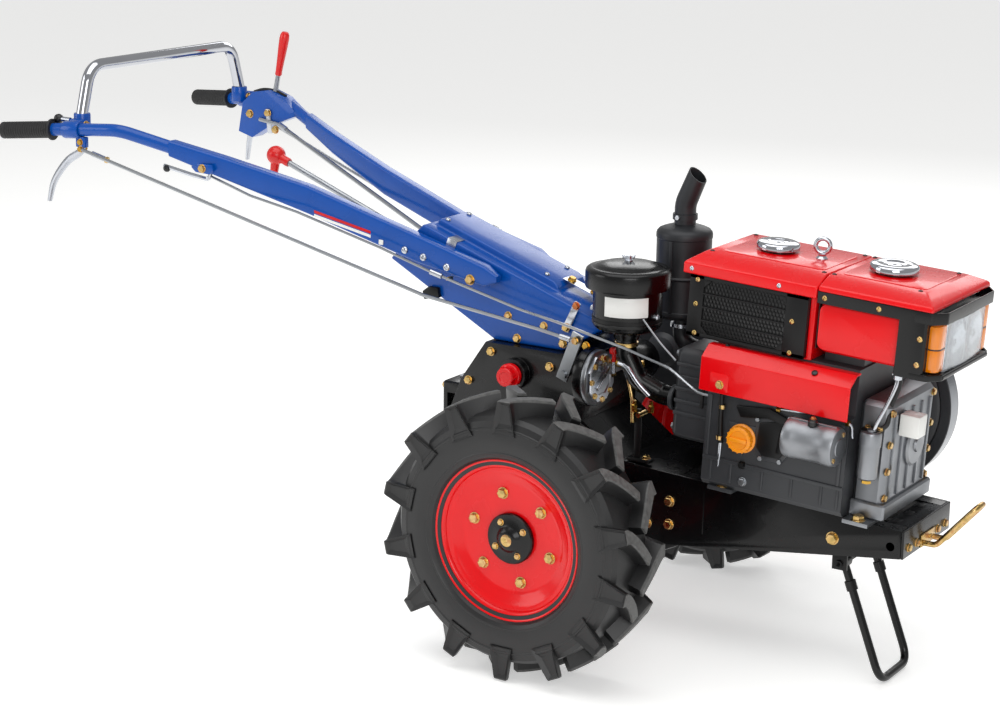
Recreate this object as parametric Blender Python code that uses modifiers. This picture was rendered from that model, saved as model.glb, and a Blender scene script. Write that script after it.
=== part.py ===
"""Two-wheel walking tractor with a horizontal diesel engine, for Blender 4.5.

Metres, +Z up, +X towards the engine end, +Y to the operator's left. Every place below is
measured from the point on the ground under the wheel axle. The last step slides the whole
machine along X, so that the origin lies on the ground at the middle of its length.
"""

import math

import bmesh
import bpy
from mathutils import Matrix, Vector

# Overall sizes
WHEEL_RADIUS = 0.295
TYRE_WIDTH = 0.145
TRACK = 0.827
GAP = 0.0003  # between pieces that touch
SHAFT_GAP = 0.0005  # between a turning piece and what carries it
STEP = 0.0004  # by which a joined shape stops short of its neighbour's face

# Wheels
RIM_FLANGE_RADIUS = 0.168
BEAD_RADIUS = 0.153
DISC_OUTBOARD = 0.033  # outer face of the wheel disc, outboard of the tyre's middle
DISC_THICKNESS = 0.006
HUB_HOLE_RADIUS = 0.046
HUB_FLANGE_RADIUS = 0.108
HUB_CAP_RADIUS = 0.0525
STUB_RADIUS = 0.032

# Gearbox and hitch
GEARBOX_HALF_WIDTH = 0.1135
GEARBOX_TOP = 0.5917
CLUTCH_SHAFT = (-0.05, 0.53)
CLUTCH_BOSS_END = 0.165
COVER_CENTRE = (-0.10, 0.550)  # y, z of the transfer cover on the gearbox's front face
GEARBOX_UPPER_FRONT = -0.036
PTO_CENTRE = (-0.203, 0.534)
HITCH_FACE = -0.432

# Frame rails
RAIL_WEB = 0.006
RAIL_INNER = GEARBOX_HALF_WIDTH + 0.0005
RAIL_OUTER = RAIL_INNER + RAIL_WEB
RAIL_FLANGE = 0.035
RAIL_REAR = 0.095
RAIL_FRONT = 0.6937
RAIL_TOP_POINT = (0.386, 0.367)
RAIL_BOTTOM_POINT = (0.190, 0.224)
RAIL_BOTTOM_RISE = 0.1354
NOSE_THICKNESS = 0.006

# Engine, in its own frame: x along the crankcase, z up from ENGINE_ORIGIN
ENGINE_PITCH = math.radians(3.2)
ENGINE_ORIGIN = (0.46, 0.60)
MOUNT_THICKNESS = 0.008
CASE_REAR = -0.18
CASE_FRONT = 0.13
CASE_RIGHT = 0.155
CASE_LEFT = 0.15
CASE_SHOULDER = -0.03
CASE_TOP = 0.0697
CASE_TOP_HALF_WIDTH = 0.13
HEAD_LENGTH = 0.105
HOOD_REAR = -0.262
HOOD_SPLIT = 0.031
HOOD_HALF_WIDTH = 0.150
HOOD_TOP_HALF_WIDTH = 0.107
HOOD_TOP = 0.241
HOOD_LIP_LOW = 0.199
HOOD_LIP_HIGH = 0.2215
HOUSING_HALF_WIDTH = 0.135
TANK_FRONT = 0.262
TANK_BOTTOM = 0.090
TANK_LIP_LOW = 0.2152
GUARD_HALF_WIDTH = 0.148
GUARD_BOTTOM = 0.080
GUARD_FRONT = 0.294
LAMP_HALF_WIDTH = 0.097
INDICATOR_OUTER = 0.133

# Flywheel, belts and clutch pulley
CRANK = (0.476, 0.511)
FLYWHEEL_RADIUS = 0.181
FLYWHEEL_INNER = 0.200
FLYWHEEL_OUTER = 0.245
ENGINE_PULLEY_RADIUS = 0.066
CLUTCH_PULLEY_RADIUS = 0.110
PULLEY_INNER = 0.262
PULLEY_OUTER = 0.318
BELT_THICKNESS = 0.010
GUARD_PLATE = 0.004

# Stand
STAND_PIVOT = (0.555, 0.2485)
STAND_PIN_RADIUS = 0.008
STAND_ROD_RADIUS = 0.0085
STAND_HALF_WIDTH = 0.071
STAND_FOOT_X = 0.647
STAND_BEND = 0.035

# Controls
BAR_TUBE_RADIUS = 0.0145
GRIP_RADIUS = 0.0195
GRIP_FLANGE_RADIUS = 0.0245
RAIL_TUBE_RADIUS = 0.014
ROD_RADIUS = 0.004
CONSOLE_HALF_WIDTH = 0.090
LID_HALF_WIDTH = 0.056
LID_THICKNESS = 0.018
CABLE_RADIUS = 0.003
CLUTCH_ROD_RADIUS = 0.005
THROTTLE_X = -0.945
THROTTLE_RADIUS = 0.005
THROTTLE_DROP = 0.019
STEERING_ARM_BACK = {"right": 0.004, "left": 0.075}  # the left arm clears the clutch boss

# The rectangular part of a handlebar: x, y, z, half width, half height at each station
BAR_HALF_WIDTH = 0.016
BAR_ROOT = CONSOLE_HALF_WIDTH + GAP + BAR_HALF_WIDTH
BAR_STATIONS = (
    (-0.255, BAR_ROOT, 0.731, 0.010, 0.007),
    (-0.285, BAR_ROOT, 0.735, BAR_HALF_WIDTH, 0.022),
    (-0.457, BAR_ROOT, 0.774, BAR_HALF_WIDTH, 0.030),
    (-0.724, 0.146, 0.859, BAR_HALF_WIDTH, 0.031),
    (-0.916, 0.208, 0.920, BAR_HALF_WIDTH, 0.024),
    (-1.027, 0.252, 0.957, 0.0155, 0.018),
)
BAR_BEND = Vector((-1.140, 0.300, 0.992))
GRIP_FRONT = Vector((-1.320, 0.320, 0.980))
GRIP_END = Vector((-1.453, 0.344, 0.969))
BAR_REAR = GRIP_FRONT + (GRIP_FRONT - GRIP_END).normalized() * 0.03

PARTS = "walking_tractor"
CUTTERS = "joined_shapes"
SIDES = (("right", -1), ("left", 1))


def clear_scene():
    for obj in list(bpy.data.objects):
        bpy.data.objects.remove(obj, do_unlink=True)


def make_collection(name):
    collection = bpy.data.collections.new(name)
    bpy.context.scene.collection.children.link(collection)
    return collection


def make_empty(name, location, parent=None, rotation=(0, 0, 0)):
    empty = bpy.data.objects.new(name, None)
    empty.location = location
    empty.rotation_euler = rotation
    empty.parent = parent
    bpy.data.collections[PARTS].objects.link(empty)
    return empty


def make_materials():
    """Colour, metallic and roughness of each finish."""
    finishes = {
        "blue_paint": ((0.0, 0.065, 0.42), 0.0, 0.25),
        "red_paint": ((0.78, 0.0, 0.005), 0.0, 0.25),
        "black_paint": ((0.008, 0.008, 0.009), 0.0, 0.3),
        "chrome": ((0.75, 0.75, 0.76), 1.0, 0.1),
        "bare_steel": ((0.45, 0.45, 0.46), 1.0, 0.35),
        "zinc_yellow": ((0.55, 0.40, 0.16), 1.0, 0.35),
        "cast_grey": ((0.045, 0.048, 0.055), 0.3, 0.5),
        "cast_aluminium": ((0.42, 0.43, 0.45), 1.0, 0.4),
        "muffler_grey": ((0.03, 0.03, 0.034), 0.4, 0.5),
        "amber": ((0.85, 0.25, 0.01), 0.0, 0.3),
        "lamp_glass": ((0.8, 0.82, 0.85), 0.0, 0.05),
        "tyre_rubber": ((0.02, 0.02, 0.021), 0.0, 0.8),
        "grip_rubber": ((0.01, 0.01, 0.01), 0.0, 0.6),
    }
    for name, (colour, metallic, roughness) in finishes.items():
        material = bpy.data.materials.new(name)
        material.use_nodes = True
        shader = material.node_tree.nodes["Principled BSDF"]
        shader.inputs["Base Color"].default_value = (*colour, 1)
        shader.inputs["Metallic"].default_value = metallic
        shader.inputs["Roughness"].default_value = roughness


def place(obj, parent, material):
    """Puts an object in the tractor's collection, under a parent, with its finish."""
    bpy.data.collections[PARTS].objects.link(obj)
    obj.parent = parent
    obj.data.materials.append(bpy.data.materials[material])
    return obj


def smooth(mesh):
    mesh.shade_smooth()
    mesh.set_sharp_from_angle(angle=math.radians(35))


def facing(direction):
    """The rotation that turns local Z to a direction."""
    return Vector(direction).to_track_quat("Z", "Y").to_euler()


def soften(obj, width, segments=1):
    bevel = obj.modifiers.new("soft_edges", "BEVEL")
    bevel.width = width
    bevel.segments = segments
    bevel.limit_method = "ANGLE"
    bevel.angle_limit = math.radians(30)
    return obj


def use_as_tool(tool):
    collection = bpy.data.collections[PARTS]
    collection.objects.unlink(tool)
    bpy.data.collections[CUTTERS].objects.link(tool)
    tool.hide_render = True
    tool.display_type = "WIRE"


def combine(base, operation, *tools):
    """Joins tools to a base, or cuts them from it."""
    for tool in tools:
        use_as_tool(tool)
        boolean = base.modifiers.new(tool.name, "BOOLEAN")
        boolean.operation = operation
        boolean.object = tool
    return base


def box(name, low, high, parent, material, edge=0.0):
    """A box between two corners, its origin at its middle."""
    low = Vector(low)
    high = Vector(high)
    mesh = bpy.data.meshes.new(name)
    shape = bmesh.new()
    bmesh.ops.create_cube(shape, size=1, matrix=Matrix.Diagonal((*(high - low), 1)))
    shape.to_mesh(mesh)
    shape.free()
    obj = bpy.data.objects.new(name, mesh)
    obj.location = (low + high) / 2
    place(obj, parent, material)
    if edge:
        soften(obj, edge)
    return obj


def cylinder(name, start, end, radius, parent, material, sides=24):
    """A round bar from one point to another."""
    start = Vector(start)
    end = Vector(end)
    mesh = bpy.data.meshes.new(name)
    shape = bmesh.new()
    length = (end - start).length
    bmesh.ops.create_cone(
        shape, cap_ends=True, segments=sides, radius1=radius, radius2=radius, depth=length
    )
    shape.to_mesh(mesh)
    shape.free()
    smooth(mesh)
    obj = bpy.data.objects.new(name, mesh)
    obj.location = (start + end) / 2
    obj.rotation_euler = facing(end - start)
    return place(obj, parent, material)


def turned(name, profile, centre, direction, parent, material, steps=32, ring=False):
    """A profile of (radius, height), from the top down its outer side, turned about an axis."""
    mesh = bpy.data.meshes.new(name)
    shape = bmesh.new()
    points = [shape.verts.new((radius, 0, height)) for radius, height in profile]
    pairs = list(zip(points, points[1:]))
    if ring:
        pairs.append((points[-1], points[0]))
    for pair in pairs:
        shape.edges.new(pair)
    shape.to_mesh(mesh)
    shape.free()
    obj = bpy.data.objects.new(name, mesh)
    obj.location = centre
    obj.rotation_euler = facing(direction)
    screw = obj.modifiers.new("turn", "SCREW")
    screw.axis = "Z"
    screw.steps = steps
    screw.render_steps = steps
    screw.use_merge_vertices = True
    screw.merge_threshold = 0.00001
    screw.use_smooth_shade = True
    return place(obj, parent, material)


def as_mesh(curve_object):
    """The closed mesh of a curve object that something is cut from or joined to."""
    graph = bpy.context.evaluated_depsgraph_get()
    bpy.context.view_layer.update()
    mesh = bpy.data.meshes.new_from_object(curve_object.evaluated_get(graph))
    shape = bmesh.new()
    shape.from_mesh(mesh)
    bmesh.ops.remove_doubles(shape, verts=shape.verts, dist=0.000001)
    bmesh.ops.recalc_face_normals(shape, faces=shape.faces)
    shape.to_mesh(mesh)
    shape.free()
    smooth(mesh)
    name = curve_object.name
    obj = bpy.data.objects.new(name, mesh)
    obj.location = curve_object.location
    obj.rotation_euler = curve_object.rotation_euler
    obj.parent = curve_object.parent
    bpy.data.objects.remove(curve_object, do_unlink=True)
    obj.name = name
    bpy.data.collections[PARTS].objects.link(obj)
    return obj


def plate(name, outlines, low, high, parent, material, across="Y"):
    """Flat outlines extruded from low to high: x and z across Y, or y and z across X.

    A second outline is a hole in the first.
    """
    curve = bpy.data.curves.new(name, "CURVE")
    curve.dimensions = "2D"
    curve.fill_mode = "BOTH"
    curve.extrude = (high - low) / 2
    if isinstance(outlines[0][0], (int, float)):
        outlines = (outlines,)
    for outline in outlines:
        spline = curve.splines.new("POLY")
        spline.points.add(len(outline) - 1)
        for point, (first, second) in zip(spline.points, outline):
            point.co = (first, second, 0, 1)
        spline.use_cyclic_u = True
    obj = bpy.data.objects.new(name, curve)
    middle = (low + high) / 2
    if across == "Y":
        obj.location = (0, middle, 0)
        obj.rotation_euler = (math.radians(90), 0, 0)
    else:
        obj.location = (middle, 0, 0)
        obj.rotation_euler = (math.radians(90), 0, math.radians(90))
    return as_mesh(place(obj, parent, material))


def tube(name, points, radius, parent, material, detail=2):
    """A round tube through points, with filled ends."""
    curve = bpy.data.curves.new(name, "CURVE")
    curve.dimensions = "3D"
    curve.bevel_depth = radius
    curve.bevel_resolution = detail
    curve.use_fill_caps = True
    spline = curve.splines.new("POLY")
    spline.points.add(len(points) - 1)
    for point, place_at in zip(spline.points, points):
        point.co = (*place_at, 1)
    return place(bpy.data.objects.new(name, curve), parent, material)


def rounded(points, radius, steps=4):
    """The points of a path whose inner corners are arcs of a radius."""
    points = [Vector(point) for point in points]
    path = [points[0]]
    for before, corner, after in zip(points, points[1:], points[2:]):
        back = (before - corner).normalized()
        ahead = (after - corner).normalized()
        half = back.angle(ahead) / 2
        reach = min(
            radius / math.tan(half),
            0.45 * (before - corner).length,
            0.45 * (after - corner).length,
        )
        bisector = (back + ahead).normalized()
        centre = corner + bisector * (reach / math.cos(half))
        first = corner + back * reach - centre
        last = corner + ahead * reach - centre
        turn = first.angle(last)
        for step in range(steps + 1):
            part = turn * step / steps
            spoke = first * math.sin(turn - part) + last * math.sin(part)
            path.append(centre + spoke / math.sin(turn))
    path.append(points[-1])
    return path


def loft(name, rings, parent, material):
    """A closed solid through rings of equal count, which are its cross-sections."""
    mesh = bpy.data.meshes.new(name)
    shape = bmesh.new()
    rows = [[shape.verts.new(point) for point in ring] for ring in rings]
    for row, following in zip(rows, rows[1:]):
        for index in range(len(row)):
            beside = (index + 1) % len(row)
            shape.faces.new((row[index], row[beside], following[beside], following[index]))
    shape.faces.new(rows[0])
    shape.faces.new(rows[-1])
    bmesh.ops.recalc_face_normals(shape, faces=shape.faces)
    shape.to_mesh(mesh)
    shape.free()
    return place(bpy.data.objects.new(name, mesh), parent, material)


def rectangle(x, y, z, half_width, half_height):
    """A cross-section ring across X."""
    return [
        (x, y + side * half_width, z + up * half_height)
        for side, up in ((-1, -1), (1, -1), (1, 1), (-1, 1))
    ]


def arc(centre, radius, start, end, steps):
    """Points of a flat arc, angles in degrees."""
    angles = (math.radians(start + (end - start) * step / steps) for step in range(steps + 1))
    return [(centre[0] + radius * math.cos(a), centre[1] + radius * math.sin(a)) for a in angles]


def belt_line(offset, steps=14):
    """The path round both pulleys, a distance outside them."""
    small = ENGINE_PULLEY_RADIUS + offset
    large = CLUTCH_PULLEY_RADIUS + offset
    span = Vector(CRANK) - Vector(CLUTCH_SHAFT)
    lean = math.degrees(math.atan2(span.y, span.x))
    wrap = math.degrees(math.acos((large - small) / span.length))
    round_clutch = arc(CLUTCH_SHAFT, large, lean + wrap, lean + 360 - wrap, steps)
    round_crank = arc(CRANK, small, lean - wrap, lean + wrap, steps)
    return round_clutch + round_crank


def rail_top(x):
    return RAIL_TOP_POINT[1] - math.tan(ENGINE_PITCH) * (x - RAIL_TOP_POINT[0])


def rail_bottom(x):
    return RAIL_BOTTOM_POINT[1] + RAIL_BOTTOM_RISE * (x - RAIL_BOTTOM_POINT[0])


def engine_point(x, y, z):
    """Where a point of the engine's frame lies in the tractor's."""
    sine = math.sin(ENGINE_PITCH)
    cosine = math.cos(ENGINE_PITCH)
    return (
        ENGINE_ORIGIN[0] + x * cosine + z * sine, y, ENGINE_ORIGIN[1] - x * sine + z * cosine
    )


def mount_base():
    """Height of the rails' top in the engine's frame."""
    across = RAIL_TOP_POINT[0] - ENGINE_ORIGIN[0]
    up = RAIL_TOP_POINT[1] - ENGINE_ORIGIN[1]
    return across * math.sin(ENGINE_PITCH) + up * math.cos(ENGINE_PITCH)


def bar_at(x):
    """Centre, half width and half height of a handlebar's rectangular part at a place."""
    for front, rear in zip(BAR_STATIONS, BAR_STATIONS[1:]):
        if rear[0] <= x <= front[0]:
            share = (x - front[0]) / (rear[0] - front[0])
            return [a + (b - a) * share for a, b in zip(front[1:], rear[1:])]
    raise ValueError("no handlebar there")


# Running gear


def make_wheel(side, sign, axle):
    """Tyre, rim and hub, each turned about the axle, outboard side up the profile."""
    half = TYRE_WIDTH / 2
    direction = (0, sign, 0)
    flange = 0.82 * half
    tyre = (
        (BEAD_RADIUS + 2 * GAP, flange - 0.0135),
        (RIM_FLANGE_RADIUS + 0.0015, flange - 0.0048),
        (RIM_FLANGE_RADIUS + 0.003, flange + 0.003),
        (0.83 * WHEEL_RADIUS, 1.00 * half),
        (0.93 * WHEEL_RADIUS, 1.00 * half),
        (0.985 * WHEEL_RADIUS, 0.82 * half),
        (WHEEL_RADIUS, 0.40 * half),
    )
    outline = list(tyre) + [(radius, -height) for radius, height in reversed(tyre)]
    turned(f"tyre_{side}", outline, (0, 0, 0), direction, axle, "tyre_rubber", 32, ring=True)

    inner_flange = -flange
    disc_low = DISC_OUTBOARD - DISC_THICKNESS
    rim = (
        (RIM_FLANGE_RADIUS, flange),
        (BEAD_RADIUS, flange - 0.012),
        (BEAD_RADIUS, inner_flange + 0.012),
        (RIM_FLANGE_RADIUS, inner_flange),
        (BEAD_RADIUS - 0.005, inner_flange + 0.008),
        (BEAD_RADIUS - 0.005, disc_low - 0.012),
        (0.120, disc_low),
        (HUB_HOLE_RADIUS, disc_low),
        (HUB_HOLE_RADIUS, DISC_OUTBOARD),
        (0.118, DISC_OUTBOARD),
        (BEAD_RADIUS - 0.005, DISC_OUTBOARD - 0.008),
        (BEAD_RADIUS - 0.005, flange - 0.008),
    )
    turned(f"rim_{side}", rim, (0, 0, 0), direction, axle, "red_paint", 32, ring=True)

    hub = (
        (0, DISC_OUTBOARD + 0.024),
        (0.016, DISC_OUTBOARD + 0.022),
        (0.020, DISC_OUTBOARD + 0.013),
        (HUB_CAP_RADIUS - 0.003, DISC_OUTBOARD + 0.011),
        (HUB_CAP_RADIUS, DISC_OUTBOARD + 0.008),
        (HUB_CAP_RADIUS, DISC_OUTBOARD + GAP),
        (HUB_HOLE_RADIUS - GAP, DISC_OUTBOARD + GAP),
        (HUB_HOLE_RADIUS - GAP, disc_low - GAP),
        (HUB_FLANGE_RADIUS, disc_low - GAP),
        (HUB_FLANGE_RADIUS, disc_low - 0.013),
        (0.055, disc_low - 0.020),
        (STUB_RADIUS + 0.012, -0.055),
        (0, -0.055),
    )
    turned(f"hub_{side}", hub, (0, 0, 0), direction, axle, "black_paint", 24)


def make_wheels(ground):
    for side, sign in SIDES:
        axle = make_empty(f"axle_{side}", (0, sign * TRACK / 2, WHEEL_RADIUS), ground)
        make_wheel(side, sign, axle)


def make_axle_housings(ground):
    """The tapered final-drive tubes from the gearbox to each hub."""
    end = TRACK / 2 - 0.055 - SHAFT_GAP
    for side, sign in SIDES:
        root = GEARBOX_HALF_WIDTH + GAP
        profile = (
            (0, end),
            (0.040, end),
            (0.048, end - 0.006),
            (0.048, end - 0.045),
            (0.040, end - 0.055),
            (0.050, root + 0.022),
            (0.088, root + 0.014),
            (0.088, root),
            (0, root),
        )
        turned(
            f"axle_housing_{side}", profile, (0, 0, WHEEL_RADIUS), (0, sign, 0), ground,
            "black_paint", 20,
        )


def make_gearbox(ground):
    outline = (
        (-0.282, GEARBOX_TOP),
        (-0.345, 0.500),
        (-0.372, 0.430),
        (-0.330, 0.300),
        (-0.220, 0.215),
        (-0.080, 0.190),
        (0.100, 0.205),
        (0.200, 0.245),
        (0.200, 0.375),
        (0.060, 0.385),
        (GEARBOX_UPPER_FRONT, 0.455),
        (GEARBOX_UPPER_FRONT, GEARBOX_TOP),
    )
    half = GEARBOX_HALF_WIDTH
    case = plate("gearbox_case", outline, -half, half, ground, "black_paint")
    y, z = COVER_CENTRE
    front = GEARBOX_UPPER_FRONT
    boss = cylinder(
        "transfer_boss", (front - 0.002, y, z), (front + 0.018, y, z), 0.062, ground, "black_paint"
    )
    clutch = cylinder(
        "clutch_boss", (CLUTCH_SHAFT[0], 0.09, CLUTCH_SHAFT[1]),
        (CLUTCH_SHAFT[0], CLUTCH_BOSS_END, CLUTCH_SHAFT[1]), 0.045, ground, "black_paint",
    )
    pto = cylinder(
        "pto_boss", (PTO_CENTRE[0], -0.09, PTO_CENTRE[1]), (PTO_CENTRE[0], -0.133, PTO_CENTRE[1]),
        0.034, ground, "black_paint",
    )
    combine(case, "UNION", boss, clutch, pto)


def make_gearbox_fittings(ground):
    y, z = COVER_CENTRE
    face = GEARBOX_UPPER_FRONT + 0.018
    profile = (
        (0, 0.024),
        (0.050, 0.024),
        (0.054, 0.022),
        (0.054, 0.012),
        (0.060, 0.011),
        (0.060, GAP),
        (0, GAP),
    )
    turned("transfer_cover", profile, (face, y, z), (1, 0, 0), ground, "cast_aluminium", 24)
    cap = (
        (0, 0.030),
        (0.018, 0.030),
        (0.021, 0.027),
        (0.021, 0.010),
        (0.026, 0.008),
        (0.026, GAP),
        (0, GAP),
    )
    centre = (PTO_CENTRE[0], -0.133, PTO_CENTRE[1])
    turned("pto_cap", cap, centre, (0, -1, 0), ground, "red_paint", 24)

    bracket = box(
        "hitch_bracket", (HITCH_FACE, -0.055, 0.378), (-0.3725, 0.055, 0.470), ground,
        "black_paint", 0.004,
    )
    mouth = box(
        "hitch_mouth", (HITCH_FACE + 0.014, -0.070, 0.405), (HITCH_FACE + 0.044, 0.070, 0.444),
        ground, "black_paint",
    )
    pin_hole = cylinder(
        "hitch_pin_hole", (HITCH_FACE + 0.029, 0, 0.36), (HITCH_FACE + 0.029, 0, 0.49), 0.0105,
        ground, "black_paint", 20,
    )
    combine(bracket, "DIFFERENCE", mouth, pin_hole)


# Frame


def make_rails(ground):
    web = (
        (RAIL_REAR, rail_bottom(RAIL_REAR)),
        (RAIL_FRONT, rail_bottom(RAIL_FRONT)),
        (RAIL_FRONT, rail_top(RAIL_FRONT)),
        (RAIL_REAR, rail_top(RAIL_REAR)),
    )
    start = 0.21
    end = RAIL_FRONT - STEP
    top = (
        (start, rail_top(start) - RAIL_WEB),
        (end, rail_top(end) - RAIL_WEB),
        (end, rail_top(end) - STEP),
        (start, rail_top(start) - STEP),
    )
    bottom = (
        (start, rail_bottom(start) + STEP),
        (end, rail_bottom(end) + STEP),
        (end, rail_bottom(end) + RAIL_WEB),
        (start, rail_bottom(start) + RAIL_WEB),
    )
    inner = RAIL_OUTER - RAIL_FLANGE
    middle = RAIL_INNER + RAIL_WEB / 2
    for side, sign in SIDES:
        name = f"frame_rail_{side}"
        edges = sorted((sign * RAIL_INNER, sign * RAIL_OUTER))
        flange_edges = sorted((sign * inner, sign * middle))
        rail = plate(name, web, *edges, ground, "black_paint")
        flanges = [
            plate(f"{name}_{part}", outline, *flange_edges, ground, "black_paint")
            for part, outline in (("top", top), ("bottom", bottom))
        ]
        combine(rail, "UNION", *flanges)
        hole = cylinder(
            f"{name}_hole", (0.672, sign * 0.10, 0.3145), (0.672, sign * 0.14, 0.3145), 0.009,
            ground, "black_paint", 20,
        )
        combine(rail, "DIFFERENCE", hole)


def make_nose(ground):
    """The front plate over the rails' ends, with a shelf between them."""
    low = rail_bottom(RAIL_FRONT)
    high = rail_top(RAIL_FRONT)
    front = RAIL_FRONT + GAP + NOSE_THICKNESS
    plate_box = box(
        "frame_nose", (RAIL_FRONT + GAP, -RAIL_OUTER, low), (front, RAIL_OUTER, high), ground,
        "black_paint",
    )
    half = RAIL_OUTER - RAIL_FLANGE - GAP
    shelf = box(
        "nose_shelf", (0.645, -half, high - NOSE_THICKNESS), (front - 0.001, half, high), ground,
        "black_paint",
    )
    combine(plate_box, "UNION", shelf)


def make_hook(ground):
    face = RAIL_FRONT + GAP + NOSE_THICKNESS + GAP
    half = 0.024
    turn = 0.024
    root = Vector((face, 0, 0.302))
    knee = Vector((face + 0.030, 0, 0.302))
    tip = Vector((face + 0.108, 0, 0.393))
    side = Vector((0, half, 0))
    rise = (tip - knee).normalized()
    loop_centre = tip - rise * turn
    loop = [
        loop_centre + rise * turn * math.cos(angle) + Vector((0, turn * math.sin(angle), 0))
        for angle in (math.radians(degrees) for degrees in range(-90, 91, 20))
    ]
    path = [root - side] + rounded([root - side, knee - side, loop[0]], 0.02, 3)[1:-1]
    path += loop
    path += rounded([loop[-1], knee + side, root + side], 0.02, 3)[1:]
    tube("front_hook", path, 0.006, ground, "zinc_yellow", 2)


def make_stand(ground):
    """A fixed pin under the rails, and the U of bent bar that swings on it."""
    x, z = STAND_PIVOT
    lug_top = rail_bottom(x - 0.016) - GAP
    pin = cylinder(
        "stand_bracket", (x, -0.100, z), (x, 0.100, z), STAND_PIN_RADIUS, ground, "black_paint", 20
    )
    lugs = [
        box(
            f"stand_lug_{side}", (x - 0.016, min(sign * 0.088, sign * 0.094), z - 0.013),
            (x + 0.016, max(sign * 0.088, sign * 0.094), lug_top), ground, "black_paint",
        )
        for side, sign in SIDES
    ]
    combine(pin, "UNION", *lugs)

    pivot = make_empty("stand_pivot", (x, 0, z), ground)
    drop = z - STAND_ROD_RADIUS
    reach = STAND_FOOT_X - x
    legs = [
        (0, -STAND_HALF_WIDTH, 0),
        (reach, -STAND_HALF_WIDTH, -drop),
        (reach, STAND_HALF_WIDTH, -drop),
        (0, STAND_HALF_WIDTH, 0),
    ]
    stand = as_mesh(
        tube("stand", rounded(legs, STAND_BEND, 4), STAND_ROD_RADIUS, pivot, "black_paint", 2)
    )
    for side, sign in SIDES:
        ends = sorted((sign * (STAND_HALF_WIDTH - 0.012), sign * (STAND_HALF_WIDTH + 0.012)))
        eye = cylinder(
            f"stand_eye_{side}", (0, ends[0], 0), (0, ends[1], 0), STAND_PIN_RADIUS + 0.006,
            pivot, "black_paint", 20,
        )
        combine(stand, "UNION", eye)
    bore = cylinder(
        "stand_bore", (0, -0.12, 0), (0, 0.12, 0), STAND_PIN_RADIUS + SHAFT_GAP, pivot,
        "black_paint", 20,
    )
    combine(stand, "DIFFERENCE", bore)


# Engine


def make_engine_block(engine):
    base = mount_base()
    floor = base + MOUNT_THICKNESS
    mounts = [
        box(
            f"engine_mount_{name}", (low, -0.152, base + GAP),
            (high, 0.152, base + GAP + MOUNT_THICKNESS), engine, "black_paint",
        )
        for name, low, high in (
            ("rear", CASE_REAR + 0.015, CASE_REAR + 0.070), ("front", CASE_FRONT + 0.004, 0.188)
        )
    ]
    section = (
        (-CASE_RIGHT, floor + 0.012),
        (-CASE_RIGHT, CASE_SHOULDER),
        (-CASE_TOP_HALF_WIDTH, CASE_SHOULDER + 0.006),
        (-CASE_TOP_HALF_WIDTH, CASE_TOP),
        (CASE_TOP_HALF_WIDTH, CASE_TOP),
        (CASE_TOP_HALF_WIDTH, CASE_SHOULDER + 0.006),
        (CASE_LEFT, CASE_SHOULDER),
        (CASE_LEFT, floor + 0.012),
        (CASE_LEFT - 0.012, floor),
        (-CASE_RIGHT + 0.012, floor),
    )
    case = plate("crankcase", section, CASE_REAR, CASE_FRONT, engine, "cast_grey", across="X")
    support = box(
        "tank_support", (0.040, -0.100, CASE_TOP - 0.005), (0.125, 0.100, TANK_BOTTOM - GAP),
        engine, "black_paint",
    )
    combine(case, "UNION", mounts[0], support)

    front = box(
        "front_casing", (CASE_FRONT + GAP, -0.112, floor + 0.022), (0.196, 0.112, CASE_TOP - 0.06),
        engine, "cast_aluminium", 0.010,
    )
    foot = box(
        "front_foot", (CASE_FRONT + GAP, -0.120, floor), (0.206, 0.120, floor + 0.034), engine,
        "cast_aluminium", 0.004,
    )
    combine(front, "UNION", foot, mounts[1])

    head = box(
        "cylinder_head", (CASE_REAR - HEAD_LENGTH, -0.105, -0.165), (CASE_REAR - GAP, 0.105, 0.030),
        engine, "cast_grey", 0.010,
    )
    rocker = box(
        "rocker_cover", (CASE_REAR - 0.128, -0.055, -0.130), (CASE_REAR - 0.09, 0.055, 0.010),
        engine, "cast_grey", 0.012,
    )
    combine(head, "UNION", rocker)


def make_engine_fittings(engine):
    starter = (
        (0, 0.056),
        (0.036, 0.056),
        (0.040, 0.050),
        (0.040, -0.038),
        (0.034, -0.042),
        (0.034, -0.056),
        (0, -0.056),
    )
    side = -(CASE_RIGHT + GAP + 0.040)
    turned("starter_motor", starter, (0.075, side, -0.072), (1, 0, 0), engine, "cast_aluminium", 24)

    cap = (
        (0, 0.026),
        (0.024, 0.026),
        (0.026, 0.023),
        (0.026, 0.010),
        (0.030, 0.008),
        (0.030, GAP),
        (0, GAP),
    )
    turned("oil_filler_cap", cap, (-0.094, -CASE_RIGHT, -0.112), (0, -1, 0), engine, "amber", 24)

    bowl = (
        (0, 0.055),
        (0.014, 0.055),
        (0.0215, 0.048),
        (0.0215, -0.048),
        (0.016, -0.054),
        (0, -0.054),
    )
    centre = (0.172, -0.143, -0.092)
    filter_body = turned("fuel_filter", bowl, centre, (0, 0, 1), engine, "cast_aluminium", 20)
    arm = box(
        "filter_arm", (0.150, -0.150, -0.050), (0.188, -0.112 - GAP, -0.040), engine,
        "cast_aluminium",
    )
    combine(filter_body, "UNION", arm)

    low = -0.024
    knee = 0.045
    top = CASE_TOP - 0.004
    skin = 0.004
    section = (
        (-0.180, low),
        (-0.180, knee),
        (-0.152, top),
        (-CASE_TOP_HALF_WIDTH - GAP, top),
        (-CASE_TOP_HALF_WIDTH - GAP, top - skin),
        (-0.150, top - skin),
        (-0.180 + skin, knee - 0.002),
        (-0.180 + skin, low),
    )
    plate("side_guard", section, -0.190, 0.134, engine, "red_paint", across="X")


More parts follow.
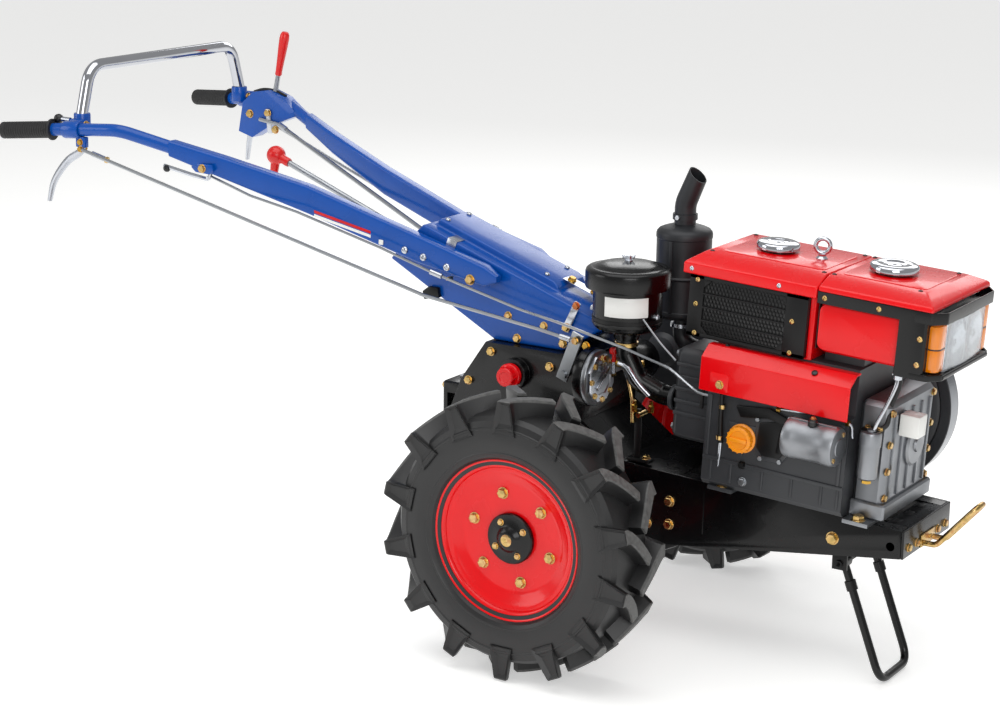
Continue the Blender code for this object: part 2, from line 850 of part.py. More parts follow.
def stacked_box(levels):
    """Cross-section rings across Z: z, lowest x, highest x and half width of each."""
    return [
        [(low, -half, z), (high, -half, z), (high, half, z), (low, half, z)]
        for z, low, high, half in levels
    ]


def make_hood(engine):
    housing = box(
        "radiator_housing", (-0.250, -HOUSING_HALF_WIDTH, CASE_TOP + GAP),
        (0.026, HOUSING_HALF_WIDTH, HOOD_LIP_LOW - GAP), engine, "red_paint",
    )
    core_low = Vector((-0.236, -HOUSING_HALF_WIDTH - 0.0055, CASE_TOP + 0.004))
    core_high = Vector((0.014, HOUSING_HALF_WIDTH + 0.0055, HOOD_LIP_LOW - 0.004))
    margin = Vector((GAP, 0.01, GAP))
    window = box("core_window", core_low - margin, core_high + margin, engine, "red_paint")
    combine(housing, "DIFFERENCE", window)
    box("radiator_core", core_low, core_high, engine, "black_paint")
    hood_rear = (
        (HOOD_LIP_LOW, HOOD_REAR, HOOD_SPLIT, HOOD_HALF_WIDTH),
        (HOOD_LIP_HIGH, HOOD_REAR, HOOD_SPLIT, HOOD_HALF_WIDTH),
        (HOOD_TOP, HOOD_REAR + 0.026, HOOD_SPLIT, HOOD_TOP_HALF_WIDTH),
    )
    loft("radiator_hood", stacked_box(hood_rear), engine, "red_paint")

    start = HOOD_SPLIT + 0.002
    lid = (
        (TANK_LIP_LOW, start, TANK_FRONT + 0.010, HOOD_HALF_WIDTH),
        (HOOD_LIP_HIGH + 0.004, start, TANK_FRONT + 0.008, HOOD_HALF_WIDTH - 0.002),
        (HOOD_TOP, start, TANK_FRONT - 0.022, HOOD_TOP_HALF_WIDTH),
    )
    tank_lid = loft("fuel_tank", stacked_box(lid), engine, "red_paint")
    body = box(
        "tank_body", (start, -HOUSING_HALF_WIDTH, TANK_BOTTOM),
        (0.236, HOUSING_HALF_WIDTH, TANK_LIP_LOW + 0.005), engine, "red_paint", 0.012,
    )
    combine(tank_lid, "UNION", body)


def make_front_guard(engine):
    """The black surround of the lamp, with its side plates and the bands under the tank's lip."""
    inner = HOUSING_HALF_WIDTH + GAP
    top = TANK_LIP_LOW - GAP
    wall = 0.238
    surround = box(
        "front_guard", (wall, -GUARD_HALF_WIDTH, GUARD_BOTTOM), (TANK_FRONT, GUARD_HALF_WIDTH, top),
        engine, "black_paint", 0.004,
    )
    chin = box(
        "guard_chin", (TANK_FRONT - 0.01, -0.118, GUARD_BOTTOM), (GUARD_FRONT, 0.118, 0.091),
        engine, "black_paint", 0.003,
    )
    bands = []
    for side, sign in SIDES:
        edges = sorted((sign * inner, sign * GUARD_HALF_WIDTH))
        band = box(
            f"guard_band_{side}", (HOOD_SPLIT + 0.002, edges[0], 0.1915), (wall + 0.004, edges[1], top), engine,
            "black_paint",
        )
        cheek = box(
            f"guard_cheek_{side}", (0.205, edges[0], GUARD_BOTTOM), (wall + 0.004, edges[1], top),
            engine, "black_paint",
        )
        bands += [band, cheek]
    combine(surround, "UNION", chin, *bands)

    face = TANK_FRONT + GAP
    low = 0.091 + GAP
    lamp = (
        (low, face, 0.286, LAMP_HALF_WIDTH),
        (0.150, face, 0.290, LAMP_HALF_WIDTH),
        (0.190, face, 0.284, LAMP_HALF_WIDTH - 0.004),
    )
    loft("headlight", stacked_box(lamp), engine, "lamp_glass")
    for side, sign in SIDES:
        edges = sorted((sign * (LAMP_HALF_WIDTH + GAP), sign * INDICATOR_OUTER))
        box(
            f"indicator_{side}", (face, edges[0], low + 0.004), (0.284, edges[1], 0.186), engine,
            "amber", 0.004,
        )


def make_tops(engine):
    """Filler caps and the lifting eye on top of the hood."""
    for name, x, radius in (("radiator_cap", -0.128, 0.044), ("fuel_cap", 0.125, 0.049)):
        profile = (
            (0, 0.021),
            (radius - 0.014, 0.020),
            (radius - 0.004, 0.018),
            (radius, 0.014),
            (radius, 0.007),
            (radius - 0.010, 0.005),
            (radius - 0.010, GAP),
            (0, GAP),
        )
        turned(name, profile, (x, 0, HOOD_TOP), (0, 0, 1), engine, "chrome", 24)

    eye_x = -0.031
    base = cylinder(
        "lifting_eye", (eye_x, 0, HOOD_TOP + GAP), (eye_x, 0, HOOD_TOP + 0.012), 0.012, engine,
        "bare_steel", 20,
    )
    bpy.ops.mesh.primitive_torus_add(
        major_segments=24, minor_segments=8, major_radius=0.0145, minor_radius=0.0048
    )
    ring = bpy.context.active_object
    ring.name = "eye_ring"
    for collection in list(ring.users_collection):
        collection.objects.unlink(ring)
    ring.location = (eye_x, 0, HOOD_TOP + 0.028)
    ring.rotation_euler = (math.radians(90), 0, math.radians(20))
    place(ring, engine, "bare_steel")
    combine(base, "UNION", ring)


# Air and exhaust


def make_air_and_exhaust(ground):
    centre = (0.057, -0.100)
    air_filter = (
        (0, 0.822),
        (0.010, 0.820),
        (0.012, 0.813),
        (0.035, 0.809),
        (0.070, 0.798),
        (0.084, 0.796),
        (0.089, 0.790),
        (0.089, 0.747),
        (0.085, 0.743),
        (0.0735, 0.742),
        (0.0735, 0.684),
        (0.064, 0.668),
        (0.034, 0.660),
        (0.026, 0.644),
        (0, 0.644),
    )
    turned("air_filter", air_filter, (*centre, 0), (0, 0, 1), ground, "black_paint", 24)

    head_face = CASE_REAR - HEAD_LENGTH - GAP
    intake = [
        (*centre, 0.644 - GAP),
        (*centre, 0.615),
        (0.085, -0.098, 0.560),
        engine_point(head_face - 0.035, -0.083, -0.085),
        engine_point(head_face, -0.083, -0.085),
    ]
    tube("intake_pipe", rounded(intake, 0.05, 3), 0.022, ground, "black_paint", 4)

    x, y = 0.090, 0.080
    can = (
        (0, 0.853),
        (0.028, 0.853),
        (0.052, 0.847),
        (0.060, 0.839),
        (0.060, 0.756),
        (0.0615, 0.752),
        (0.060, 0.748),
        (0.060, 0.672),
        (0.052, 0.662),
        (0, 0.662),
    )
    muffler = turned("muffler", can, (x, y, 0), (0, 0, 1), ground, "muffler_grey", 24)
    outlet = as_mesh(
        tube(
            "muffler_outlet",
            [
                (x, y, 0.843),
                (x, y, 0.900),
                (x + 0.003, y, 0.925),
                (x + 0.012, y, 0.948),
                (x + 0.026, y, 0.964),
            ],
            0.024, ground, "muffler_grey", 4,
        )
    )
    exhaust = [(x, y, 0.670), engine_point(x - ENGINE_ORIGIN[0], y, -0.030)]
    exhaust += [engine_point(head_face, y, -0.030)]
    pipe = as_mesh(
        tube("exhaust_pipe", rounded(exhaust, 0.04, 4), 0.019, ground, "muffler_grey", 3)
    )
    combine(muffler, "UNION", outlet, pipe)


# Flywheel, belts and clutch pulley


def make_flywheel(ground):
    crank = make_empty("crank_axis", (CRANK[0], 0, CRANK[1]), ground)
    rim = FLYWHEEL_RADIUS
    profile = (
        (0, PULLEY_OUTER),
        (ENGINE_PULLEY_RADIUS, PULLEY_OUTER),
        (ENGINE_PULLEY_RADIUS, PULLEY_INNER),
        (0.050, PULLEY_INNER - 0.004),
        (0.050, FLYWHEEL_OUTER - 0.008),
        (rim - 0.030, FLYWHEEL_OUTER - 0.012),
        (rim - 0.024, FLYWHEEL_OUTER),
        (rim, FLYWHEEL_OUTER),
        (rim, FLYWHEEL_INNER),
        (rim - 0.024, FLYWHEEL_INNER),
        (rim - 0.030, FLYWHEEL_INNER + 0.012),
        (0.055, FLYWHEEL_INNER + 0.008),
        (0.050, FLYWHEEL_INNER - 0.006),
        (0.030, FLYWHEEL_INNER - 0.010),
        (0.030, CASE_LEFT + SHAFT_GAP),
        (0, CASE_LEFT + SHAFT_GAP),
    )
    turned("flywheel", profile, (0, 0, 0), (0, 1, 0), crank, "black_paint", 32)


def make_clutch_pulley(ground):
    shaft = make_empty("clutch_axis", (CLUTCH_SHAFT[0], 0, CLUTCH_SHAFT[1]), ground)
    profile = (
        (0, PULLEY_OUTER),
        (0.050, PULLEY_OUTER),
        (0.055, PULLEY_OUTER - 0.006),
        (CLUTCH_PULLEY_RADIUS - 0.014, PULLEY_OUTER - 0.006),
        (CLUTCH_PULLEY_RADIUS - 0.010, PULLEY_OUTER),
        (CLUTCH_PULLEY_RADIUS, PULLEY_OUTER),
        (CLUTCH_PULLEY_RADIUS, PULLEY_INNER),
        (0.080, PULLEY_INNER - 0.012),
        (0.030, PULLEY_INNER - 0.020),
        (0.030, CLUTCH_BOSS_END + SHAFT_GAP),
        (0, CLUTCH_BOSS_END + SHAFT_GAP),
    )
    turned("clutch_pulley", profile, (0, 0, 0), (0, 1, 0), shaft, "cast_grey", 32)


def make_belts(ground):
    inside = belt_line(0.0008)
    outside = belt_line(0.0008 + BELT_THICKNESS)
    plate(
        "drive_belts", (outside, inside), PULLEY_INNER + 0.003, PULLEY_OUTER - 0.003, ground,
        "grip_rubber",
    )
    edge = belt_line(0.030)
    face = PULLEY_OUTER + 0.006
    guard = plate("belt_guard", edge, face, face + GUARD_PLATE, ground, "black_paint")
    for name, x, z, root in (
        ("guard_stay_rear", 0.075, 0.520, RAIL_OUTER), ("guard_stay_front", 0.235, 0.535, 0.105)
    ):
        stay = cylinder(
            name, (x, root + GAP, z), (x, face + 0.001, z), 0.009, ground, "black_paint", 16
        )
        combine(guard, "UNION", stay)


# Handlebars and controls


def make_handlebars(ground):
    for side, sign in SIDES:
        rings = [
            rectangle(x, sign * y, z, width, height) for x, y, z, width, height in BAR_STATIONS
        ]
        bar = loft(f"handlebar_{side}", rings, ground, "blue_paint")
        last = Vector(BAR_STATIONS[-1][:3])
        before = Vector(BAR_STATIONS[-2][:3])
        inside = last + (before - last) * 0.3
        line = (inside, last, BAR_BEND, BAR_REAR, GRIP_FRONT)
        path = [Vector((p.x, sign * p.y, p.z)) for p in line]
        stem = as_mesh(
            tube(
                f"bar_tube_{side}", rounded(path, 0.12, 5), BAR_TUBE_RADIUS, ground, "blue_paint", 3
            )
        )
        combine(bar, "UNION", stem)

        start = Vector((GRIP_FRONT.x, sign * GRIP_FRONT.y, GRIP_FRONT.z))
        end = Vector((GRIP_END.x, sign * GRIP_END.y, GRIP_END.z))
        length = (end - start).length
        grip = (
            (0, length),
            (GRIP_RADIUS - 0.002, length),
            (GRIP_RADIUS + 0.001, length - 0.004),
            (GRIP_RADIUS + 0.001, length - 0.010),
            (GRIP_RADIUS - 0.001, length - 0.014),
            (GRIP_RADIUS - 0.001, 0.010),
            (GRIP_FLANGE_RADIUS, 0.008),
            (GRIP_FLANGE_RADIUS, 2 * GAP),
            (0, 2 * GAP),
        )
        turned(f"grip_{side}", grip, start, end - start, ground, "grip_rubber", 24)


def tube_centre(x, sign):
    """Where the round part of a handlebar runs, between its bend and its grip."""
    share = (x - BAR_BEND.x) / (BAR_REAR.x - BAR_BEND.x)
    centre = BAR_BEND.lerp(BAR_REAR, share)
    return Vector((centre.x, sign * centre.y, centre.z))


def make_handrail(ground):
    """The bent tube across the bars, its feet against their inner sides."""
    x = -1.266
    aside = BAR_TUBE_RADIUS + RAIL_TUBE_RADIUS + GAP
    feet = []
    for side, sign in SIDES:
        centre = tube_centre(x, sign)
        foot = centre - Vector((0, sign * aside, 0.004))
        knee = foot + Vector((0, 0, 0.035))
        corner = Vector((x, sign * 0.252, 1.122))
        feet.append([foot, knee, corner])
    path = feet[0] + feet[1][::-1]
    tube("handrail", rounded(path, 0.055, 4), RAIL_TUBE_RADIUS, ground, "chrome", 3)


def make_steering(ground):
    """Each hand lever, the rod it pulls, and the arm on the gearbox that the rod turns."""
    for side, sign in SIDES:
        under = tube_centre(-1.246, sign) - Vector((0, 0, BAR_TUBE_RADIUS + GAP))
        lever = [
            under,
            under + Vector((0.004, 0, -0.030)),
            under + Vector((-0.022, sign * 0.022, -0.056)),
            under + Vector((-0.046, sign * 0.040, -0.100)),
            under + Vector((-0.058, sign * 0.047, -0.150)),
        ]
        tube(
            f"steering_lever_{side}", rounded(lever, 0.03, 3), 0.007, ground, "cast_aluminium", 2
        )
        arm_side = 0.150
        back = STEERING_ARM_BACK[side]
        pivot = Vector((-0.060 - back, sign * arm_side, 0.560))
        top = Vector((-0.030 - back, sign * arm_side, 0.640))
        rod = [
            under + Vector((0.0125, sign * 0.012, -0.028)),
            Vector((-0.400, sign * 0.178, 0.690)),
            Vector((-0.120 - back, sign * (arm_side + 0.005), 0.650)),
            Vector((-0.028 - back, sign * (arm_side + 0.005), 0.636)),
        ]
        rod_solid = as_mesh(
            tube(f"pull_{side}", rounded(rod, 0.04, 2), ROD_RADIUS, ground, "bare_steel", 1)
        )
        along = (top - pivot).normalized()
        across = Vector((-along.z, 0, along.x)) * 0.013
        reach = along * 0.012
        corners = [
            pivot - reach + across,
            pivot - reach - across,
            top + reach - across,
            top + reach + across,
        ]
        edges = sorted((pivot.y - sign * 0.003, pivot.y + sign * 0.003))
        arm = plate(
            f"steering_rod_{side}", [(corner.x, corner.z) for corner in corners], *edges, ground,
            "bare_steel",
        )
        inner = GEARBOX_HALF_WIDTH + GAP
        shaft = cylinder(
            f"arm_shaft_{side}", (pivot.x, sign * inner, pivot.z), (pivot.x, sign * 0.158, pivot.z),
            0.009, ground, "bare_steel", 16,
        )
        combine(arm, "UNION", shaft, rod_solid)


CONSOLE_REAR_TOP = Vector((-0.462, 0.824))
CONSOLE_FRONT_TOP = Vector((-0.034, 0.674))
CONSOLE_REAR_TIP = Vector((-0.549, 0.738))


def make_console(ground):
    outline = (
        (-0.275, GEARBOX_TOP + GAP),
        (-0.104, GEARBOX_TOP + GAP),
        (-0.006, 0.652),
        tuple(CONSOLE_FRONT_TOP),
        tuple(CONSOLE_REAR_TOP),
        tuple(CONSOLE_REAR_TIP),
    )
    half = CONSOLE_HALF_WIDTH
    console = plate("control_console", outline, -half, half, ground, "blue_paint")
    slope = (CONSOLE_FRONT_TOP - CONSOLE_REAR_TOP).normalized()
    normal = Vector((-slope.y, slope.x))
    rear = CONSOLE_REAR_TOP + slope * 0.012 - normal * 0.002
    front = rear + slope * 0.335
    lid = (
        tuple(rear),
        tuple(front),
        tuple(front + normal * 0.6 * LID_THICKNESS - slope * 0.006),
        tuple(front + normal * LID_THICKNESS - slope * 0.022),
        tuple(rear + normal * LID_THICKNESS + slope * 0.004),
    )
    cover = plate("console_lid", lid, -LID_HALF_WIDTH, LID_HALF_WIDTH, ground, "blue_paint")
    combine(console, "UNION", cover)


def make_levers(ground):
    direction = Vector((-0.288, 0, 0.110)).normalized()
    foot = Vector((-0.5274, 0, 0.7622))
    knob = Vector((-0.933, 0, 0.917))
    length = (knob - foot).length
    lever = (
        (0, length + 0.023),
        (0.012, length + 0.020),
        (0.021, length + 0.009),
        (0.022, length),
        (0.017, length - 0.014),
        (0.012, length - 0.020),
        (0.012, length - 0.045),
        (0.005, length - 0.047),
        (0.005, 0),
        (0, 0),
    )
    turned("gear_lever", lever, foot, direction, ground, "red_paint", 20)

    outline = (
        (-1.250, 0.912),
        (-1.208, 0.900),
        (-1.150, 0.935),
        (-1.078, 0.962),
        (-1.078, 0.976),
        (-1.115, 1.004),
        (-1.160, 1.019),
        (-1.205, 1.012),
        (-1.236, 0.985),
    )
    low, high = 0.258, 0.300
    quadrant = plate("clutch_quadrant", outline, low, high, ground, "blue_paint")
    last = Vector(BAR_STATIONS[-1][:3])
    before = Vector(BAR_STATIONS[-2][:3])
    path = [last + (before - last) * 0.3, last, BAR_BEND, BAR_REAR, GRIP_FRONT]
    clearance = as_mesh(
        tube("quadrant_hole", rounded(path, 0.12, 5), BAR_TUBE_RADIUS + GAP, ground, "blue_paint", 3)
    )
    combine(quadrant, "DIFFERENCE", clearance)

    foot = Vector((-1.150, (low + high) / 2, 1.016 + 2 * GAP))
    tip = Vector((-1.118, (low + high) / 2, 1.163))
    length = (tip - foot).length
    lever = (
        (0, length),
        (0.008, length - 0.003),
        (0.0125, length - 0.012),
        (0.0125, length - 0.030),
        (0.008, length - 0.074),
        (0.0045, length - 0.076),
        (0.0045, 0.004),
        (0.009, 0.003),
        (0.009, 0.001),
        (0, 0.001),
    )
    turned("clutch_lever", lever, foot, tip - foot, ground, "red_paint", 20)
    beside = low - CLUTCH_ROD_RADIUS - GAP
    clutch_rod = [(-1.180, beside, 0.948), (-1.120, beside, 0.940), (-0.522, 0.0325, 0.7701)]
    tube(
        "clutch_rod", rounded(clutch_rod, 0.03, 3), CLUTCH_ROD_RADIUS, ground, "bare_steel", 1
    )

    seat, down = throttle_seat()
    pivot = seat + down * THROTTLE_DROP
    throttle = [
        seat,
        pivot,
        pivot + Vector((-0.045, -0.008, 0.008)),
        pivot + Vector((-0.112, -0.020, 0.023)),
    ]
    tube("throttle_lever", rounded(throttle, 0.01, 3), THROTTLE_RADIUS, ground, "bare_steel", 2)


def throttle_seat():
    """Where the throttle lever hangs under the right handlebar, and the way square to it."""
    ahead = bar_at(THROTTLE_X + 0.005)
    behind = bar_at(THROTTLE_X - 0.005)
    rise = (behind[1] - behind[3]) - (ahead[1] - ahead[3])
    down = Vector((-rise, 0, -0.010)).normalized()
    y, z, _, height = bar_at(THROTTLE_X)
    return Vector((THROTTLE_X, -y, z - height)) + down * 2 * GAP, down


def make_throttle_cable(ground):
    """The control cable, from the throttle lever along the right handlebar to the crankcase."""
    seat, down = throttle_seat()
    start = seat + down * (THROTTLE_DROP - 0.008) + Vector((THROTTLE_RADIUS + 0.0012, 0, 0))
    end = Vector(engine_point(CASE_REAR - GAP, -0.142, -0.045))
    route = [
        start,
        (-0.840, -0.214, 0.864),
        (-0.726, -0.196, 0.838),
        (-0.524, -0.162, 0.776),
        (-0.407, -0.142, 0.735),
        (-0.342, -0.138, 0.718),
        (-0.176, -0.145, 0.683),
        (-0.062, -0.170, 0.674),
        (0.093, -0.170, 0.643),
        (0.190, -0.155, 0.612),
        engine_point(CASE_REAR - 0.030, -0.142, -0.045),
        end,
    ]
    tube("throttle_cable", rounded(route, 0.08, 2), CABLE_RADIUS, ground, "grip_rubber", 1)


def centre_on_origin(ground):
    """Slides the machine along X until its length is centred on the origin."""
    bpy.context.view_layer.update()
    graph = bpy.context.evaluated_depsgraph_get()
    reach = []
    for obj in bpy.data.collections[PARTS].objects:
        if obj.type == "EMPTY":
            continue
        evaluated = obj.evaluated_get(graph)
        mesh = evaluated.to_mesh()
        reach += [(evaluated.matrix_world @ vertex.co).x for vertex in mesh.vertices]
        evaluated.to_mesh_clear()
    ground.location.x = -(min(reach) + max(reach)) / 2


def main():
    clear_scene()
    make_collection(PARTS)
    make_collection(CUTTERS)
    make_materials()
    ground = make_empty("under_axle", (0, 0, 0))
    engine = make_empty(
        "engine_datum", (ENGINE_ORIGIN[0], 0, ENGINE_ORIGIN[1]), ground, (0, ENGINE_PITCH, 0)
    )
    make_wheels(ground)
    make_axle_housings(ground)
    make_gearbox(ground)
    make_gearbox_fittings(ground)
    make_rails(ground)
    make_nose(ground)
    make_hook(ground)
    make_stand(ground)
    make_engine_block(engine)
    make_engine_fittings(engine)
    make_hood(engine)
    make_front_guard(engine)
    make_tops(engine)
    make_air_and_exhaust(ground)
    make_flywheel(ground)
    make_clutch_pulley(ground)
    make_belts(ground)
    make_handlebars(ground)
    make_handrail(ground)
    make_steering(ground)
    make_console(ground)
    make_levers(ground)
    make_throttle_cable(ground)
    centre_on_origin(ground)


main()
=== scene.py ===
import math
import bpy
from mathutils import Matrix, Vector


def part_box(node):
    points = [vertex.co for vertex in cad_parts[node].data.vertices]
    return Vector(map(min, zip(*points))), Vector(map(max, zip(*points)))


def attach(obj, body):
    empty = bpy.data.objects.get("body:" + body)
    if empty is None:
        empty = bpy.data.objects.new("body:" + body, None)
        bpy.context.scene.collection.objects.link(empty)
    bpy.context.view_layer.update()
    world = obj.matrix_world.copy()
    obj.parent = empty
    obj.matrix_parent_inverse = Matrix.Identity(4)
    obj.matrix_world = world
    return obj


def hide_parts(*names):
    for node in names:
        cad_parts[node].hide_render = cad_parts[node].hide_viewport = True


bl_info = {
    "name": "Walking tractor looks", "version": (1, 0, 0), "blender": (4, 5, 0),
    "location": "3D View > Sidebar > Tractor",
    "description": "Finishes, castings, tread, trim and a studio around the packed walking tractor",
    "category": "Object",
}

import bmesh
import bpy
from mathutils import Matrix, Vector

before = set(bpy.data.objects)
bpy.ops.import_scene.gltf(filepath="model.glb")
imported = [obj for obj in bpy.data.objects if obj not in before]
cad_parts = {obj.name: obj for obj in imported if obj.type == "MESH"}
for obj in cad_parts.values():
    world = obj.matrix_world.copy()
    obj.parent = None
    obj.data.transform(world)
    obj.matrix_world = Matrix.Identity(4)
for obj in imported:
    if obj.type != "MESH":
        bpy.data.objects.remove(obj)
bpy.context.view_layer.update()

MM = 0.001
SIDES = (("right", -1), ("left", 1))


def middle_of(node):
    low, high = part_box(node)
    return (low + high) / 2


# The axle frame has its origin on the floor under the axle, and the engine frame leans back with the engine.
AXLE_X = middle_of("tyre_right").x
CHASSIS = Matrix.Translation((AXLE_X, 0, 0))
ENGINE_PITCH = math.radians(3.2)
ENGINE = CHASSIS @ Matrix.Translation((0.46, 0, 0.6)) @ Matrix.Rotation(ENGINE_PITCH, 4, "Y")
WHEEL_RADIUS = middle_of("tyre_right").z
WHEEL_Y = middle_of("tyre_left").y
CRANK = (0.476, 0.511)
CLUTCH_SHAFT = (-0.05, 0.53)


def engine_point(x, y, z):
    """A point of the engine frame, in the axle frame."""
    return CHASSIS.inverted() @ ENGINE @ Vector((x, y, z))


# ---------------------------------------------------------------- settings


def linear(hex_value):
    """An sRGB hex colour as linear red, green, blue and a full alpha."""
    parts = [int(hex_value[i : i + 2], 16) / 255 for i in (1, 3, 5)]
    return (*(c / 12.92 if c <= 0.04045 else ((c + 0.055) / 1.055) ** 2.4 for c in parts), 1.0)


def colour_setting(name, hex_value, use):
    return bpy.props.FloatVectorProperty(
        name=name, description=use, default=linear(hex_value), size=4, min=0.0, max=1.0, subtype="COLOR"
    )


def length_setting(name, metres, use):
    return bpy.props.FloatProperty(
        name=name, description=use, default=metres, min=0.0, unit="LENGTH", subtype="DISTANCE"
    )


class TractorColours(bpy.types.PropertyGroup):
    """The colours of the finishes."""

    blue: colour_setting("Blue enamel", "#004CA6", "Handlebars, console and quadrant")
    red: colour_setting("Red enamel", "#E4000A", "Hood, tank, rims and side guard")
    black: colour_setting("Black enamel", "#050506", "Gearbox, frame and air filter")
    zinc: colour_setting("Yellow zinc", "#C2A265", "Passivated bolts and hook")
    amber: colour_setting("Amber acrylic", "#F58A00", "Turn indicators")
    floor: colour_setting("Studio floor", "#F4F4F2", "Floor under the tractor")


class TractorSizes(bpy.types.PropertyGroup):
    """The sizes of what is built around the frame."""

    lug_width: length_setting("Lug width", 0.03, "Width of a tyre lug across its bar")
    mesh_pitch: length_setting("Grille pitch", 0.0078, "Distance between the grille's punched holes")
    rounding: bpy.props.FloatProperty(
        name="Edge rounding",
        description="Share of each edge's radius that is kept",
        default=1.0,
        min=0.0,
        max=1.5,
    )


SETTING_GROUPS = (TractorColours, TractorSizes)


def colours():
    return bpy.context.scene.tractor_colours


def sizes():
    return bpy.context.scene.tractor_sizes


# ---------------------------------------------------------------- materials


def add_node(tree, kind, inputs, **settings):
    """Adds one node. Its settings are attributes. An input is a value, a socket or a node's first output."""
    node = tree.nodes.new(kind)
    for key, value in settings.items():
        setattr(node, key, value)
    for key, value in inputs.items():
        if isinstance(value, bpy.types.Node):
            value = value.outputs[0]
        if isinstance(value, bpy.types.NodeSocket):
            tree.links.new(value, node.inputs[key])
        else:
            node.inputs[key].default_value = value
    return node


def new_material(name):
    """An empty material, its node tree, and the object's own coordinates in metres."""
    material = bpy.data.materials.new(name)
    material.use_nodes = True
    tree = material.node_tree
    tree.nodes.clear()
    return material, tree, add_node(tree, "ShaderNodeTexCoord", {}).outputs["Object"]


def close_material(tree, inputs):
    """Adds the shader with its inputs, and the output."""
    shader = add_node(tree, "ShaderNodeBsdfPrincipled", inputs)
    output = add_node(tree, "ShaderNodeOutputMaterial", {"Surface": shader})
    output.location = (400, 0)


def as_colour(value):
    """A colour of the settings, or a hex one turned to linear."""
    return linear(value) if isinstance(value, str) else tuple(value)


# Noise stays mostly between these two values, so a range mapped from them is used in full.
NOISE_SPREAD = {"From Min": 0.3, "From Max": 0.7}


def surface(
    name, first, second=None, rough=(0.3, 0.4), metallic=0.0, patch_mm=60.0, grain_mm=1.5, bump_mm=0.02,
    **sockets,
):
    """A finish whose colour and gloss drift over patches, with a fine grain in its surface."""
    material, tree, place = new_material(name)
    patches = add_node(tree, "ShaderNodeTexNoise", {"Vector": place, "Scale": 1000 / patch_mm, "Detail": 3.0})
    tones = {0: patches, 6: as_colour(first), 7: as_colour(second or first)}
    colour = add_node(tree, "ShaderNodeMix", tones, data_type="RGBA")
    gloss = {"Value": patches, **NOISE_SPREAD, "To Min": rough[0], "To Max": rough[1]}
    grain = add_node(tree, "ShaderNodeTexNoise", {"Vector": place, "Scale": 1000 / grain_mm, "Detail": 2.0})
    inputs = {
        "Base Color": colour.outputs[2], "Roughness": add_node(tree, "ShaderNodeMapRange", gloss),
        "Normal": add_node(tree, "ShaderNodeBump", {"Height": grain, "Distance": bump_mm * MM}),
        "Metallic": metallic,
    }
    close_material(tree, inputs | {key.replace("_", " "): value for key, value in sockets.items()})
    return material


def enamel(name, colour, darker, coat=0.25, shine=0.3, peel_mm=14.0):
    # Sprayed enamel: a clear wet gloss over the pigment, with a slow orange peel that bends reflections.
    return surface(
        name, colour, darker, rough=(0.22, 0.3), grain_mm=peel_mm, bump_mm=0.035, Coat_Weight=coat,
        Coat_Roughness=0.045, Specular_IOR_Level=shine, IOR=1.5,
    )


def distance_from(tree, place, point):
    """How far the surface lies from a cross axle that runs through a point of the axle frame."""
    centre = {0: place, 1: CHASSIS @ Vector(point)}
    away = add_node(tree, "ShaderNodeVectorMath", centre, operation="SUBTRACT")
    split = add_node(tree, "ShaderNodeSeparateXYZ", {"Vector": away})
    flat = add_node(tree, "ShaderNodeCombineXYZ", {"X": split.outputs["X"], "Z": split.outputs["Z"]})
    return add_node(tree, "ShaderNodeVectorMath", {0: flat}, operation="LENGTH").outputs["Value"]


def tyre_rubber():
    # Moulded tread rubber: near black with a dull sheen, and a patchy lighter grey on the lug tops.
    material, tree, place = new_material("tyre_rubber_moulded")
    radius = distance_from(tree, place, (0, 0, WHEEL_RADIUS))
    crown = {"Value": radius, "From Min": WHEEL_RADIUS - 0.0066, "From Max": WHEEL_RADIUS - 0.0046}
    top = add_node(tree, "ShaderNodeMapRange", crown)
    # The outermost radius, the lug tops all round the wheel, turns a patchy lighter grey.
    top_patches = add_node(tree, "ShaderNodeTexNoise", {"Vector": place, "Scale": 1000 / 9.0, "Detail": 4.0})
    patchy = {"Value": top_patches, "From Min": 0.35, "From Max": 0.65, "To Min": 0.55, "To Max": 1.0}
    top_patchiness = add_node(tree, "ShaderNodeMapRange", patchy)
    grey_tops = add_node(tree, "ShaderNodeMath", {0: top, 1: top_patchiness}, operation="MULTIPLY")
    patches = add_node(tree, "ShaderNodeTexNoise", {"Vector": place, "Scale": 1000 / 35.0, "Detail": 3.0})
    dark = {0: patches, 6: linear("#0E0E0F"), 7: linear("#171718")}
    body = add_node(tree, "ShaderNodeMix", dark, data_type="RGBA").outputs[2]
    grey_top_mix = {0: grey_tops, 6: body, 7: linear("#5E5E5D")}
    grain = add_node(tree, "ShaderNodeTexNoise", {"Vector": place, "Scale": 1000 / 1.2, "Detail": 3.0})
    inputs = {
        "Base Color": add_node(tree, "ShaderNodeMix", grey_top_mix, data_type="RGBA").outputs[2],
        "Roughness": add_node(tree, "ShaderNodeMapRange", {"Value": grey_tops, "To Min": 0.42, "To Max": 0.72}),
        "Normal": add_node(tree, "ShaderNodeBump", {"Height": grain, "Distance": 0.09 * MM}),
        "IOR": 1.52,
    }
    close_material(tree, inputs)
    return material


